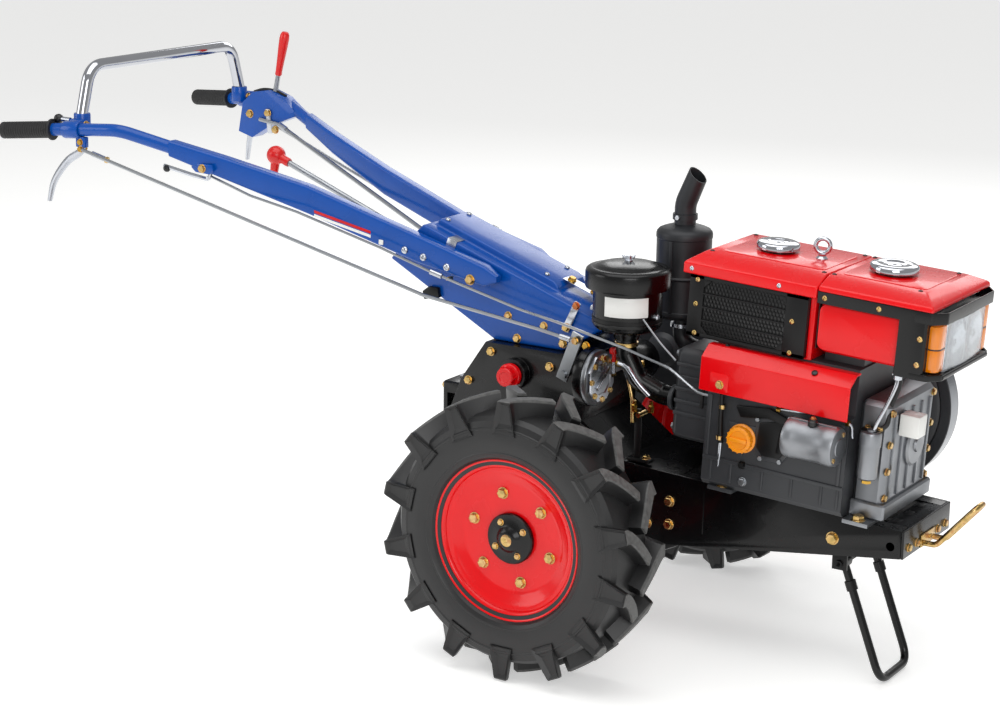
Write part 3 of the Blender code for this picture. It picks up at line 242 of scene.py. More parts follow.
def plated(name, tones, rough, hue_patch_mm=14.0):
    # Yellow passivated zinc: a gold film whose hue drifts to green and rose over a few millimetres.
    material, tree, place = new_material(name)
    drift = add_node(
        tree, "ShaderNodeTexNoise", {"Vector": place, "Scale": 1000 / hue_patch_mm, "Detail": 1.0},
    )
    ramp = add_node(
        tree, "ShaderNodeValToRGB", {
            "Fac": add_node(tree, "ShaderNodeMapRange", {"Value": drift, **NOISE_SPREAD})
        }
    )
    stops = ramp.color_ramp.elements
    stops[0].color = as_colour(tones[0])
    stops[1].color = as_colour(tones[-1])
    for index, tone in enumerate(tones[1:-1]):
        stops.new((index + 1) / (len(tones) - 1)).color = as_colour(tone)
    gloss = {"Value": drift, **NOISE_SPREAD, "To Min": rough[0], "To Max": rough[1]}
    grain = add_node(tree, "ShaderNodeTexNoise", {"Vector": place, "Scale": 1000 / 0.8, "Detail": 2.0})
    inputs = {
        "Base Color": ramp, "Roughness": add_node(tree, "ShaderNodeMapRange", gloss),
        "Normal": add_node(tree, "ShaderNodeBump", {"Height": grain, "Distance": 0.01 * MM}),
        "Metallic": 1.0,
    }
    close_material(tree, inputs)
    return material


def turned_metal(name, hex_value, rough, ring_mm=1.1):
    # Lathe-turned face: concentric rings about the crank's axis, drawn coarser than real feed marks to show.
    material, tree, place = new_material(name)
    turns = {0: distance_from(tree, place, (CRANK[0], 0, CRANK[1])), 1: math.tau / (ring_mm * MM)}
    rings = add_node(tree, "ShaderNodeMath", turns, operation="MULTIPLY")
    wave = add_node(tree, "ShaderNodeMath", {0: rings}, operation="SINE")
    patches = add_node(tree, "ShaderNodeTexNoise", {"Vector": place, "Scale": 1000 / 30.0, "Detail": 3.0})
    gloss = {"Value": patches, **NOISE_SPREAD, "To Min": rough[0], "To Max": rough[1]}
    inputs = {
        "Base Color": linear(hex_value), "Roughness": add_node(tree, "ShaderNodeMapRange", gloss),
        "Normal": add_node(tree, "ShaderNodeBump", {"Height": wave, "Distance": 0.02 * MM}),
        "Metallic": 1.0,
    }
    close_material(tree, inputs)
    return material


def make_materials():
    """Every finish of the tractor, by its short name."""
    paint = colours()
    return {
        "blue": enamel("blue_enamel_sprayed", paint.blue, "#004496"),
        "red": enamel("red_enamel_sprayed", paint.red, "#D60008"),
        "black": enamel("black_enamel_sprayed", paint.black, "#030304", 0.12, 0.3),
        # Black powder coat: even, half gloss, with a leathery grain.
        "powder": surface(
            "black_powder_coat_baked", "#060607", "#0B0B0C", rough=(0.34, 0.46), grain_mm=1.6,
            bump_mm=0.05, Specular_IOR_Level=0.3, IOR=1.5,
        ),
        "zinc": plated(
            "yellow_zinc_passivated", ("#A8905A", paint.zinc, "#CFAF78", "#B98A5C"), (0.2, 0.34)
        ),
        # Bright zinc: pale blue-white metal, duller than chrome.
        "bright": surface(
            "bright_zinc_plated", "#C9CCD2", "#B4B8C0", rough=(0.18, 0.32), metallic=1.0, grain_mm=0.9,
            bump_mm=0.01,
        ),
        # Chrome over polished steel: a mirror with the faintest waviness.
        "chrome": surface(
            "chrome_plated_polished", "#C4C6CB", "#B6B8BE", rough=(0.04, 0.1), metallic=1.0,
            grain_mm=22.0, bump_mm=0.02,
        ),
        # Drawn steel left bare: grey, with an even satin.
        "steel": surface(
            "steel_bare_drawn", "#A9ACB0", "#8F9296", rough=(0.26, 0.4), metallic=1.0, grain_mm=1.0,
            bump_mm=0.015,
        ),
        # Sand-cast iron under thin grey-black paint: a coarse pebbled skin.
        "cast": surface(
            "cast_iron_painted", "#2A2B2E", "#35373A", rough=(0.38, 0.5), grain_mm=2.0,
            bump_mm=0.07, IOR=1.5,
        ),
        # Die-cast aluminium: pale metal with a fine cloudy grain.
        "aluminium": surface(
            "aluminium_die_cast", "#9A9CA0", "#85888C", rough=(0.34, 0.5), metallic=1.0, grain_mm=1.4,
            bump_mm=0.05,
        ),
        # Rolled sheet under heat-resistant paint: satin dark grey.
        "muffler": surface(
            "steel_sheet_heat_painted", "#232427", "#2C2E31", rough=(0.36, 0.5), metallic=0.35,
            grain_mm=1.8, bump_mm=0.04,
        ),
        # Turned brass: warm yellow metal, slightly dulled.
        "brass": surface(
            "brass_turned", "#C9A14A", "#B88C3C", rough=(0.2, 0.34), metallic=1.0, grain_mm=1.0
        ),
        # Copper-plated steel: reddish, half bright.
        "copper": surface(
            "copper_plated", "#C77B4E", "#B06A42", rough=(0.22, 0.36), metallic=1.0, grain_mm=1.0
        ),
        "turned": turned_metal("steel_lathe_turned", "#8D9095", (0.16, 0.28)),
        "tyre": tyre_rubber(),
        # Hand-grip rubber: matt black with a fine pore.
        "rubber": surface(
            "grip_rubber_moulded", "#0C0C0D", "#141415", rough=(0.52, 0.68), grain_mm=0.9,
            bump_mm=0.05, IOR=1.52,
        ),
        # Wrapped belt fabric over rubber: dusty black with a cloth grain.
        "belt": surface(
            "v_belt_rubber_wrapped", "#1B1B1C", "#262628", rough=(0.66, 0.82), grain_mm=1.0,
            bump_mm=0.12, IOR=1.5,
        ),
        # Moulded black plastic: even satin.
        "plastic": surface(
            "abs_black_moulded", "#080809", "#0E0E0F", rough=(0.3, 0.4), grain_mm=1.1, IOR=1.53
        ),
        # Moulded red plastic: bright, with a soft gloss.
        "red_plastic": surface(
            "abs_red_moulded", "#D8110D", "#C60C0A", rough=(0.22, 0.32), grain_mm=1.4, IOR=1.53
        ),
        # Moulded orange plastic of the oil cap.
        "orange": surface(
            "abs_orange_moulded", "#F59A12", "#EC8C0C", rough=(0.26, 0.36), grain_mm=1.4, IOR=1.53
        ),
        # White vinyl film, left blank: flat, with a slight sheen.
        "label": surface(
            "vinyl_white_film", "#EDEDEA", "#E6E6E2", rough=(0.3, 0.4), grain_mm=6.0, IOR=1.5
        ),
        # Amber acrylic, moulded: saturated orange, partly clear, with a faint painted glow of its own that
        # stands in for light passing through.
        "amber": surface(
            "acrylic_amber_moulded", paint.amber, "#F79208", rough=(0.1, 0.16), grain_mm=9.0,
            Transmission_Weight=0.35, Emission_Color=linear("#F57600"), Emission_Strength=0.12, IOR=1.49,
            Coat_Weight=0.6,
        ),
        # Clear acrylic lens, moulded: almost colourless, ribbed by its geometry.
        "lens": surface(
            "acrylic_clear_moulded", "#F4F7FA", "#EEF2F6", rough=(0.03, 0.06), grain_mm=12.0,
            Transmission_Weight=0.92, IOR=1.49,
        ),
        # Vacuum-metallised reflector: a bright mirror with ripples.
        "mirror": surface(
            "reflector_metallised", "#D9DCE0", "#CBCFD4", rough=(0.08, 0.16), metallic=1.0,
            grain_mm=10.0, bump_mm=0.3,
        ),
    }


MATERIALS = {}


def finish_of(key):
    if not MATERIALS:
        MATERIALS.update(make_materials())
    return MATERIALS[key]


# ---------------------------------------------------------------- shapes


def frame_along(axis):
    """A rotation that turns +Z onto a direction."""
    return Vector(axis).normalized().to_track_quat("Z", "Y").to_matrix().to_4x4()


def rounded_outline(half_u, half_v, radius, steps=6):
    """A rectangle with round corners, counter-clockwise about its middle."""
    points = []
    for su, sv, start in ((1, 1, 0), (-1, 1, 90), (-1, -1, 180), (1, -1, 270)):
        for step in range(steps + 1):
            angle = math.radians(start + 90 * step / steps)
            u = su * (half_u - radius) + radius * math.cos(angle)
            v = sv * (half_v - radius) + radius * math.sin(angle)
            points.append((u, v))
    return points


def filleted(points, radius, steps=8, closed=False):
    """A path with its corners turned into arcs."""
    points = [Vector(p) for p in points]
    count = len(points)
    path = []
    for i, corner in enumerate(points):
        if not closed and i in (0, count - 1):
            path.append(corner)
            continue
        before = points[i - 1] - corner
        after = points[(i + 1) % count] - corner
        angle = before.angle(after)
        reach = min(radius / math.tan(angle / 2), 0.48 * before.length, 0.48 * after.length)
        first = corner + before.normalized() * reach
        last = corner + after.normalized() * reach
        for step in range(steps + 1):
            t = step / steps
            path.append((1 - t) ** 2 * first + 2 * t * (1 - t) * corner + t**2 * last)
    return path


def smooth_route(points, steps=8):
    """A smooth curve through chosen points."""
    points = [Vector(p) for p in points]
    ends = [2 * points[0] - points[1], *points, 2 * points[-1] - points[-2]]
    path = []
    for i in range(1, len(ends) - 2):
        a, b, c, d = ends[i - 1 : i + 3]
        for step in range(steps):
            t = step / steps
            low = 0.5 * (2 * b + (c - a) * t + (2 * a - 5 * b + 4 * c - d) * t**2)
            path.append(low + 0.5 * (3 * b - a - 3 * c + d) * t**3)
    path.append(points[-1])
    return path


def around(centre, across, radius, count, start=0.0):
    """Places on a circle about a cross axle, from a start in degrees, at a distance along that axle."""
    for k in range(count):
        angle = math.radians(start + 360 * k / count)
        yield centre + Vector((radius * math.cos(angle), across, radius * math.sin(angle)))


def skin(made, rings, closed=False):
    """Faces between rings that have as many points each, joined into a loop or closed at both ends."""
    for first, second in zip(rings, rings[1:] + rings[:1] if closed else rings[1:]):
        for k in range(len(first)):
            after = (k + 1) % len(first)
            made.faces.new((first[k], first[after], second[after], second[k]))
    if not closed:
        made.faces.new(rings[0][::-1])
        made.faces.new(rings[-1])


class Shape:
    """Meshes of one piece, gathered in one frame of the tractor."""

    def __init__(self, matrix=CHASSIS):
        self.mesh = bmesh.new()
        self.keys = []
        self.matrix = matrix

    def index(self, key):
        if key not in self.keys:
            self.keys.append(key)
        return self.keys.index(key)

    def take(self, made, key, matrix=None, smooth=True):
        """Joins a small bmesh into the piece."""
        if matrix is not None:
            bmesh.ops.transform(made, matrix=matrix, verts=made.verts)
        bmesh.ops.recalc_face_normals(made, faces=made.faces)
        slot = self.index(key)
        for face in made.faces:
            face.material_index = slot
            face.smooth = smooth
        held = bpy.data.meshes.new("held")
        made.to_mesh(held)
        made.free()
        self.mesh.from_mesh(held)
        bpy.data.meshes.remove(held)

    def box(self, low, high, key, edge=0.0015, matrix=None, segments=2):
        """A block with rounded edges."""
        low, high = Vector(low), Vector(high)
        made = bmesh.new()
        size = high - low
        place = Matrix.Translation((low + high) / 2) @ Matrix.Diagonal((*size, 1))
        bmesh.ops.create_cube(made, size=1, matrix=place)
        edge = min(edge, 0.45 * min(size))
        bmesh.ops.bevel(made, geom=made.edges[:], offset=edge, segments=segments, affect="EDGES", profile=0.5)
        self.take(made, key, matrix)

    def prism(self, outline, axis, low, high, key, edge=0.0, matrix=None, smooth=True):
        """An outline pushed along X, Y or Z, with its rim rounded."""
        made = bmesh.new()
        order = {
            "X": lambda u, v, w: (w, u, v), "Y": lambda u, v, w: (u, w, v), "Z": lambda u, v,
            w: (u, v, w),
        }
        place = order[axis]
        base = [made.verts.new(place(u, v, low)) for u, v in outline]
        face = made.faces.new(base)
        pushed = bmesh.ops.extrude_face_region(made, geom=[face])
        moved = [v for v in pushed["geom"] if isinstance(v, bmesh.types.BMVert)]
        bmesh.ops.translate(made, verts=moved, vec=Vector(place(0, 0, high - low)))
        made.faces.ensure_lookup_table()
        bmesh.ops.recalc_face_normals(made, faces=made.faces)
        if edge > 0:
            rim = [e for e in made.edges if max(len(f.verts) for f in e.link_faces) > 4 or len(outline) < 9]
            bmesh.ops.bevel(made, geom=rim, offset=edge, segments=2, affect="EDGES", profile=0.5)
        self.take(made, key, matrix, smooth)

    def lathe(self, profile, centre, axis, key, steps=40, smooth=True, turn=0.0):
        """Turns (radius, height) points about an axis; a radius of 0 closes the end."""
        made = bmesh.new()
        rings = []
        for radius, height in profile:
            if radius <= 1e-6:
                rings.append([made.verts.new((0, 0, height))])
                continue
            ring = []
            for step in range(steps):
                angle = math.tau * (step + turn) / steps
                ring.append(made.verts.new((radius * math.cos(angle), radius * math.sin(angle), height)))
            rings.append(ring)
        for first, second in zip(rings, rings[1:]):
            for step in range(steps):
                after = (step + 1) % steps
                corners = [first[step % len(first)], first[after % len(first)]]
                corners += [second[after % len(second)], second[step % len(second)]]
                made.faces.new(list(dict.fromkeys(corners)))
        for ring, flip in ((rings[0], True), (rings[-1], False)):
            if len(ring) > 2:
                made.faces.new(ring[::-1] if flip else ring)
        self.take(made, key, Matrix.Translation(Vector(centre)) @ frame_along(axis), smooth)

    def ring(self, profile, centre, axis, key, steps=48, smooth=True):
        """Turns a closed (radius, height) outline into a ring."""
        made = bmesh.new()
        rings = []
        for radius, height in profile:
            ring = []
            for step in range(steps):
                angle = math.tau * step / steps
                ring.append(made.verts.new((radius * math.cos(angle), radius * math.sin(angle), height)))
            rings.append(ring)
        skin(made, rings, closed=True)
        self.take(made, key, Matrix.Translation(Vector(centre)) @ frame_along(axis), smooth)

    def tube(self, path, radius, key, sides=14, closed=False, section=None, up=(0, 0, 1)):
        """Sweeps a round section, or an outline, along a path. The radius is one number, or one a point."""
        path = [Vector(p) for p in path]
        count = len(path)
        made = bmesh.new()
        outline = section or [
            (math.cos(math.tau * k / sides), math.sin(math.tau * k / sides)) for k in range(sides)
        ]
        side = None
        rings = []
        for i, point in enumerate(path):
            ahead = path[(i + 1) % count] if closed or i < count - 1 else point
            behind = path[i - 1] if closed or i else point
            along = (ahead - behind).normalized()
            if side is None:
                side = along.cross(Vector(up))
                if side.length < 1e-3:
                    side = along.cross(Vector((1, 0, 0)))
            if section:
                side = along.cross(Vector(up))
            side = (side - along * side.dot(along)).normalized()
            lift = side.cross(along)
            size = radius[i] if isinstance(radius, (list, tuple)) else radius
            rings.append([made.verts.new(point + (side * u + lift * v) * size) for u, v in outline])
        skin(made, rings, closed)
        self.take(made, key)

    def loft(self, rings, key, smooth=True):
        """Skins a row of rings that have as many points each, and closes both ends."""
        made = bmesh.new()
        skin(made, [[made.verts.new(p) for p in ring] for ring in rings])
        self.take(made, key, None, smooth)

    def bolt(self, centre, axis, size, key="zinc", washer=True):
        """A hexagon head on a round washer, standing on a face. Size is the thread's diameter."""
        across = 0.93 * size
        height = 0.65 * size
        foot = 0.0
        if washer:
            foot = 0.16 * size
            rim = 1.12 * size
            profile = ((rim, -0.0004), (rim, foot * 0.7), (rim - foot * 0.3, foot), (0, foot))
            self.lathe(profile, centre, axis, key, 20)
        head = (
            (across, foot), (across, foot + height * 0.8), (across * 0.86, foot + height),
            (0, foot + height),
        )
        self.lathe(head, centre, axis, key, 6, smooth=False)

    def dome(self, centre, axis, radius, height, key="bright"):
        """A low round-headed screw with its recess."""
        curve = [(radius * math.cos(t), height * math.sin(t)) for t in (0.0, 0.35, 0.7, 1.0, 1.25)]
        profile = [(radius, -0.0004), *curve, (radius * 0.26, height * 0.62), (0, height * 0.62)]
        self.lathe(profile, centre, axis, key, 20)

    def make(self, name, replaces=(), body="chassis", sharp=35.0):
        """Turns the gathered meshes into an object that rides on a body of the frame."""
        bmesh.ops.transform(self.mesh, matrix=self.matrix, verts=self.mesh.verts)
        mesh = bpy.data.meshes.new(name)
        self.mesh.to_mesh(mesh)
        self.mesh.free()
        for key in self.keys:
            mesh.materials.append(finish_of(key))
        mesh.set_sharp_from_angle(angle=math.radians(sharp))
        made = bpy.data.objects.new(name, mesh)
        bpy.context.scene.collection.objects.link(made)
        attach(made, body)
        if replaces:
            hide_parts(*replaces)
        return made


BODY_OF = {
    "rim_right": "wheel_right", "hub_right": "wheel_right", "rim_left": "wheel_left",
    "hub_left": "wheel_left", "stand": "stand",
}


def rounded_copy(node, key, edge, segments=3, angle=28.0):
    """Stands for a CAD node with the same faces and rounded edges."""
    made = bmesh.new()
    made.from_mesh(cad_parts[node].data)
    bmesh.ops.remove_doubles(made, verts=made.verts, dist=1e-5)
    bmesh.ops.dissolve_limit(
        made, angle_limit=math.radians(1.2), verts=made.verts, edges=made.edges, use_dissolve_boundaries=False
    )
    mesh = bpy.data.meshes.new(node + "_rounded")
    made.to_mesh(mesh)
    made.free()
    mesh.materials.append(finish_of(key))
    for face in mesh.polygons:
        face.use_smooth = True
        face.material_index = 0
    copy = bpy.data.objects.new(node + "_rounded", mesh)
    bpy.context.scene.collection.objects.link(copy)
    bevel = copy.modifiers.new("round", "BEVEL")
    bevel.width = edge * sizes().rounding
    bevel.segments = segments
    bevel.limit_method = "ANGLE"
    bevel.angle_limit = math.radians(angle)
    bevel.harden_normals = True
    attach(copy, BODY_OF.get(node, "chassis"))
    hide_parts(node)
    return copy


def refinish(node, key):
    """A better finish on a CAD node that stays."""
    node_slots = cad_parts[node].material_slots
    for held in node_slots:
        held.material = finish_of(key)
    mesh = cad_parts[node].data
    if not len(node_slots):
        mesh.materials.append(finish_of(key))


# ---------------------------------------------------------------- wheels


def tyre_point(angle, radius, across):
    """A point of the tread: angle from the top towards the front, and distance out from the tyre's middle."""
    return Vector((radius * math.sin(angle), -across, WHEEL_RADIUS + radius * math.cos(angle)))


def lug_line(t):
    """The lug's middle line: its turn about the axle, and its distance out from the tyre's middle."""
    across = 0.0725 - t * 0.08
    lean = 0.235 * max(0.0, (t - 0.12) / 0.88) ** 1.25
    return lean, across


def add_lug(made, start, outward):
    """One tread bar, from its shoulder face to its tapered end past the middle."""
    half = sizes().lug_width / 2
    rings = []
    steps = 9
    for step in range(steps + 1):
        t = step / steps
        lean, across = lug_line(t)
        ahead, behind = lug_line(min(1, t + 0.05)), lug_line(max(0, t - 0.05))
        run = Vector(((ahead[0] - behind[0]) * 0.28, behind[1] - ahead[1])).normalized()
        crown = WHEEL_RADIUS - 0.0004 - 0.0035 * (across / 0.0725) ** 2
        foot = 0.222 + (0.254 - 0.222) * min(1.0, t * 3.5)
        taper = 1.0 - 0.22 * t
        ring = []
        flare = 1.35 + 0.4 * max(0.0, 1 - t * 4)
        section = (
            (-flare, foot), (-1.02, crown - 0.004), (-0.9, crown), (0.9, crown), (1.02, crown - 0.004),
            (flare, foot),
        )
        for side, radius in section:
            shift = side * half * taper
            turn = start + lean + shift * run.y / radius
            out = across + shift * run.x * 0.55
            out = min(out, 0.0724) if t > 0 else 0.0724
            ring.append(made.verts.new(tyre_point(turn, radius, outward * out)))
        rings.append(ring)
    for first, second in zip(rings, rings[1:]):
        for k in range(6):
            made.faces.new((first[k], first[(k + 1) % 6], second[(k + 1) % 6], second[k]))
    made.faces.new(rings[-1])
    return made.faces.new(rings[0][::-1])


def build_tyre(side, sign):
    tyre = Shape()
    half = [
        (0.1535, 0.046), (0.156, 0.0565), (0.169, 0.0585), (0.173, 0.064), (0.18, 0.0676),
        (0.1815, 0.069), (0.184, 0.0692), (0.1855, 0.0684), (0.2, 0.0706), (0.214, 0.0704),
        (0.23, 0.0688), (0.2315, 0.0698), (0.2345, 0.0694), (0.236, 0.0678), (0.248, 0.064),
        (0.256, 0.055), (0.26, 0.04), (0.262, 0.02),
    ]
    section = half + [(0.2624, 0.0)] + [(r, -h) for r, h in reversed(half)]
    centre = (0, 0, WHEEL_RADIUS)
    tyre.ring(section, centre, (0, 1, 0), "tyre", 112)
    lugs = bmesh.new()
    ends = []
    count = 14
    for k in range(count):
        ends.append(add_lug(lugs, math.tau * k / count, 1))
        ends.append(add_lug(lugs, math.tau * (k + 0.5) / count, -1))
    bmesh.ops.recalc_face_normals(lugs, faces=lugs.faces)
    bmesh.ops.inset_individual(lugs, faces=ends, thickness=0.0085, depth=-0.007, use_even_offset=True)
    tyre.take(lugs, "tyre")
    if sign > 0:
        bmesh.ops.transform(tyre.mesh, matrix=Matrix.Diagonal((1, -1, 1, 1)), verts=tyre.mesh.verts)
        bmesh.ops.reverse_faces(tyre.mesh, faces=tyre.mesh.faces)
    bmesh.ops.translate(tyre.mesh, verts=tyre.mesh.verts, vec=(0, sign * WHEEL_Y, 0))
    tyre.make(f"treaded_tyre_{side}", [f"tyre_{side}"], f"wheel_{side}", 25)


RIM_SECTION = (
    (0.0465, 0.033), (0.11, 0.033), (0.113, 0.0338), (0.119, 0.0352), (0.123, 0.0385), (0.133, 0.0405),
    (0.1365, 0.044), (0.143, 0.0465), (0.148, 0.0475), (0.15, 0.052), (0.154, 0.055), (0.162, 0.056),
    (0.165, 0.059), (0.1668, 0.0595), (0.168, 0.0585), (0.168, 0.0568), (0.16, 0.0535),
    (0.1535, 0.052), (0.1527, 0.05), (0.1527, 0.012), (0.149, 0.004), (0.149, -0.014),
    (0.1527, -0.022), (0.1527, -0.05), (0.16, -0.0535), (0.168, -0.0568), (0.168, -0.0585),
    (0.165, -0.059), (0.156, -0.0565), (0.1485, -0.048), (0.1485, -0.024), (0.144, -0.015),
    (0.144, 0.005), (0.1455, 0.03), (0.14, 0.036), (0.13, 0.03), (0.117, 0.027), (0.0465, 0.027),
)


def build_wheel_centre(side, sign):
    """The pressed rim with its bolts, and the hub with its cap."""
    centre = Vector((0, sign * WHEEL_Y, WHEEL_RADIUS))
    out = Vector((0, sign, 0))
    rim = Shape()
    rim.ring(RIM_SECTION, centre, out, "red", 112)
    for place in around(centre, sign * 0.033, 0.093, 6, 104):
        rim.bolt(place, out, 0.011)
    rim.make(f"stepped_rim_{side}", [f"rim_{side}"], f"wheel_{side}")
    hub = Shape()
    profile = (
        (0, -0.055), (0.042, -0.055), (0.044, -0.053), (0.044, 0.01), (0.06, 0.014), (0.106, 0.016),
        (0.108, 0.018), (0.108, 0.0262), (0.0455, 0.0262), (0.0455, 0.0335), (0.0515, 0.0335),
        (0.0525, 0.0345), (0.0525, 0.0415), (0.0505, 0.044), (0.03, 0.0448), (0.026, 0.0475),
        (0.0215, 0.053), (0.015, 0.0558), (0.013, 0.0558),
    )
    hub.lathe((*profile, (0, 0.0558)), centre, out, "black", 56)
    hub.lathe(
        ((0.0125, 0.0555), (0.0125, 0.0562), (0.011, 0.057), (0.0045, 0.057), (0.0035, 0.056), (0, 0.056)),
        centre, out, "zinc", 28,
    )
    for place in around(centre, sign * 0.044, 0.038, 4, 32):
        hub.bolt(place, out, 0.0065)
    for place in around(centre, sign * 0.0165, 0.093, 6, 74):
        hub.bolt(place, -out, 0.01, washer=False)
    hub.make(f"capped_hub_{side}", [f"hub_{side}"], f"wheel_{side}")


def build_axle_housing(side, sign):
    """The cast housing of one half axle, bolted to the gearbox."""
    housing = Shape()
    out = Vector((0, sign, 0))
    centre = Vector((0, 0, WHEEL_RADIUS))
    profile = (
        (0, 0.1138), (0.086, 0.1138), (0.088, 0.1155), (0.088, 0.1255), (0.0855, 0.1278),
        (0.06, 0.129), (0.053, 0.136), (0.049, 0.155), (0.0415, 0.29), (0.041, 0.302), (0.0465, 0.306),
        (0.048, 0.31), (0.048, 0.352), (0.045, 0.3575), (0.04, 0.358), (0, 0.358),
    )
    housing.lathe(profile, centre, out, "black", 48)
    for place in around(centre, sign * 0.1282, 0.074, 8, 22.5):
        housing.bolt(place, out, 0.008)
    for k in range(4):
        turn = Matrix.Translation(centre) @ Matrix.Rotation(math.radians(90 * k), 4, "Y")
        web = [(0.04, 0.128), (0.068, 0.128), (0.064, 0.134), (0.046, 0.2), (0.04, 0.21)]
        outline = [(x, sign * y) for x, y in web]
        housing.prism(outline, "Z", -0.004, 0.004, "black", 0.0012, turn)
    housing.make(f"cast_axle_housing_{side}", [f"axle_housing_{side}"])


# ---------------------------------------------------------------- gearbox and frame


def build_gearbox():
    rounded_copy("gearbox_case", "black", 0.0045)
    trim = Shape()
    seam = [
        (-0.286, 0.588), (-0.351, 0.501), (-0.378, 0.43), (-0.335, 0.295), (-0.223, 0.209),
        (-0.081, 0.184), (0.101, 0.199), (0.196, 0.24), (0.196, 0.3), (-0.1, 0.3),
    ]
    trim.prism(seam, "Y", -0.006, 0.006, "black", 0.0015)
    rows = {
        -1: ((-0.268, 0.572), (-0.325, 0.5), (-0.35, 0.43), (-0.31, 0.312), (-0.212, 0.234), (-0.12, 0.56)),
        1: ((-0.268, 0.572), (-0.325, 0.5), (-0.35, 0.43), (-0.31, 0.312), (-0.212, 0.234), (-0.15, 0.572)),
    }
    for sign, places in rows.items():
        for x, z in places:
            trim.bolt((x, sign * 0.1133, z), (0, sign, 0), 0.009)
        trim.box((-0.3, sign * 0.1125, 0.395), (-0.15, sign * 0.1175, 0.407), "black", 0.002)
        trim.box((-0.29, sign * 0.1125, 0.345), (-0.12, sign * 0.1175, 0.357), "black", 0.002)
        trim.prism(
            [(0.098, 0.21), (0.19, 0.25), (0.19, 0.215), (0.15, 0.196)], "Y",
            *sorted((sign * 0.06, sign * 0.1)), "black", 0.004,
        )
    for x, y, z in ((0.045, -0.082, 0.196), (-0.03, -0.06, 0.192), (0.12, -0.05, 0.213)):
        trim.lathe(
            ((0.02, 0.0), (0.02, 0.012), (0.014, 0.018), (0, 0.018)), (x, y, z), (0, 0, -1), "black", 24,
        )
    trim.lathe(
        ((0.012, 0.0), (0.012, 0.006), (0.008, 0.008), (0, 0.008)), (0.0, 0.0, 0.1925), (0, 0, -1),
        "zinc", 6,
    )
    trim.make("gearbox_ribs_and_bolts")

    cover = Shape()
    centre = Vector((-0.0177, -0.1, 0.55))
    ring = (
        (0, 0), (0.0595, 0), (0.06, 0.001), (0.06, 0.008), (0.0585, 0.0105), (0.0555, 0.0115),
        (0, 0.0115),
    )
    cover.lathe(ring, centre, (1, 0, 0), "aluminium", 56)
    plate = ((0.0535, 0.011), (0.0535, 0.0175), (0.051, 0.0195), (0.036, 0.02), (0.034, 0.018), (0, 0.018))
    cover.lathe(plate, centre, (1, 0, 0), "bright", 8, smooth=False, turn=0.5)
    for k in range(8):
        angle = math.tau * k / 8
        place = centre + Vector((0.019, 0.0445 * math.cos(angle), 0.0445 * math.sin(angle)))
        cover.bolt(place, (1, 0, 0), 0.0062)
    slope = Matrix.Translation(centre) @ Matrix.Rotation(math.radians(38), 4, "X")
    cover.box((0.017, -0.031, -0.0045), (0.0232, 0.031, 0.0045), "bright", 0.0016, slope)
    cover.make("bolted_transfer_cover", ["transfer_cover"])

    cap = Shape()
    profile = ((0, 0), (0.025, 0), (0.026, 0.001), (0.026, 0.01), (0.0245, 0.012), (0.0212, 0.013))
    profile += ((0.0205, 0.027), (0.0185, 0.0293), (0.012, 0.0297), (0.011, 0.0285), (0, 0.0285))
    cap.lathe(profile, (-0.203, -0.1334, 0.534), (0, -1, 0), "red", 40)
    for k in range(6):
        angle = math.tau * k / 6
        place = Vector((-0.203 + 0.0205 * math.cos(angle), -0.15, 0.534 + 0.0205 * math.sin(angle)))
        cap.tube([place + Vector((0, 0.006, 0)), place - Vector((0, 0.008, 0))], 0.0022, "red", 8)
    cap.make("power_take_off_cap", ["pto_cap"])

    rounded_copy("hitch_bracket", "black", 0.0018)
    hitch = Shape()
    for y in (-0.043, 0.043):
        for z in (0.39, 0.458):
            hitch.bolt((-0.4318, y, z), (-1, 0, 0), 0.0076, washer=False)
    hitch.tube([(-0.403, 0, 0.4705), (-0.403, 0, 0.4745)], 0.0151, "bright", 24)
    hitch.make("hitch_bolts")


def build_rails():
    for side, sign in SIDES:
        rounded_copy(f"frame_rail_{side}", "black", 0.0016)
        trim = Shape()
        outer = sign * 0.12
        trim.bolt((0.549, outer, 0.309), (0, sign, 0), 0.0125)
        for x, z in ((0.128, 0.312), (0.128, 0.262), (0.18, 0.318), (0.18, 0.268)):
            trim.bolt((x, outer, z), (0, sign, 0), 0.0105)
        gap = box_between((0.258, outer - sign * 0.0003, 0.262), (0.2605, outer + sign * 0.0014, 0.352))
        trim.box(*gap, "black", 0.0006)
        trim.make(f"rail_bolts_{side}")
    rounded_copy("frame_nose", "black", 0.0016)
    nose = Shape()
    for y, z in ((-0.054, 0.31), (0.054, 0.31), (-0.094, 0.311), (0.094, 0.311)):
        nose.bolt((0.6998, y, z), (1, 0, 0), 0.008)
    nose.box((0.6995, -0.036, 0.2945), (0.7035, 0.036, 0.32), "zinc", 0.0014)
    for y in (-0.06, 0.0, 0.06):
        nose.box((0.652, y - 0.012, 0.3497), (0.668, y + 0.012, 0.3506), "plastic", 0.0003)
    nose.make("nose_bolts_and_plate")
    hook = Shape()
    path = [(0.7042, -0.024, 0.302), (0.73, -0.024, 0.302), (0.8078, -0.024, 0.3925)]
    path += [(x, -y, z) for x, y, z in reversed(path)]
    hook.tube(filleted(path, 0.02, 10), 0.006, "zinc", 18)
    hook.make("bent_front_hook", ["front_hook"])


def box_between(first, second):
    """The lowest and highest corners of the block between two points."""
    pairs = list(zip(first, second))
    return Vector(min(p) for p in pairs), Vector(max(p) for p in pairs)


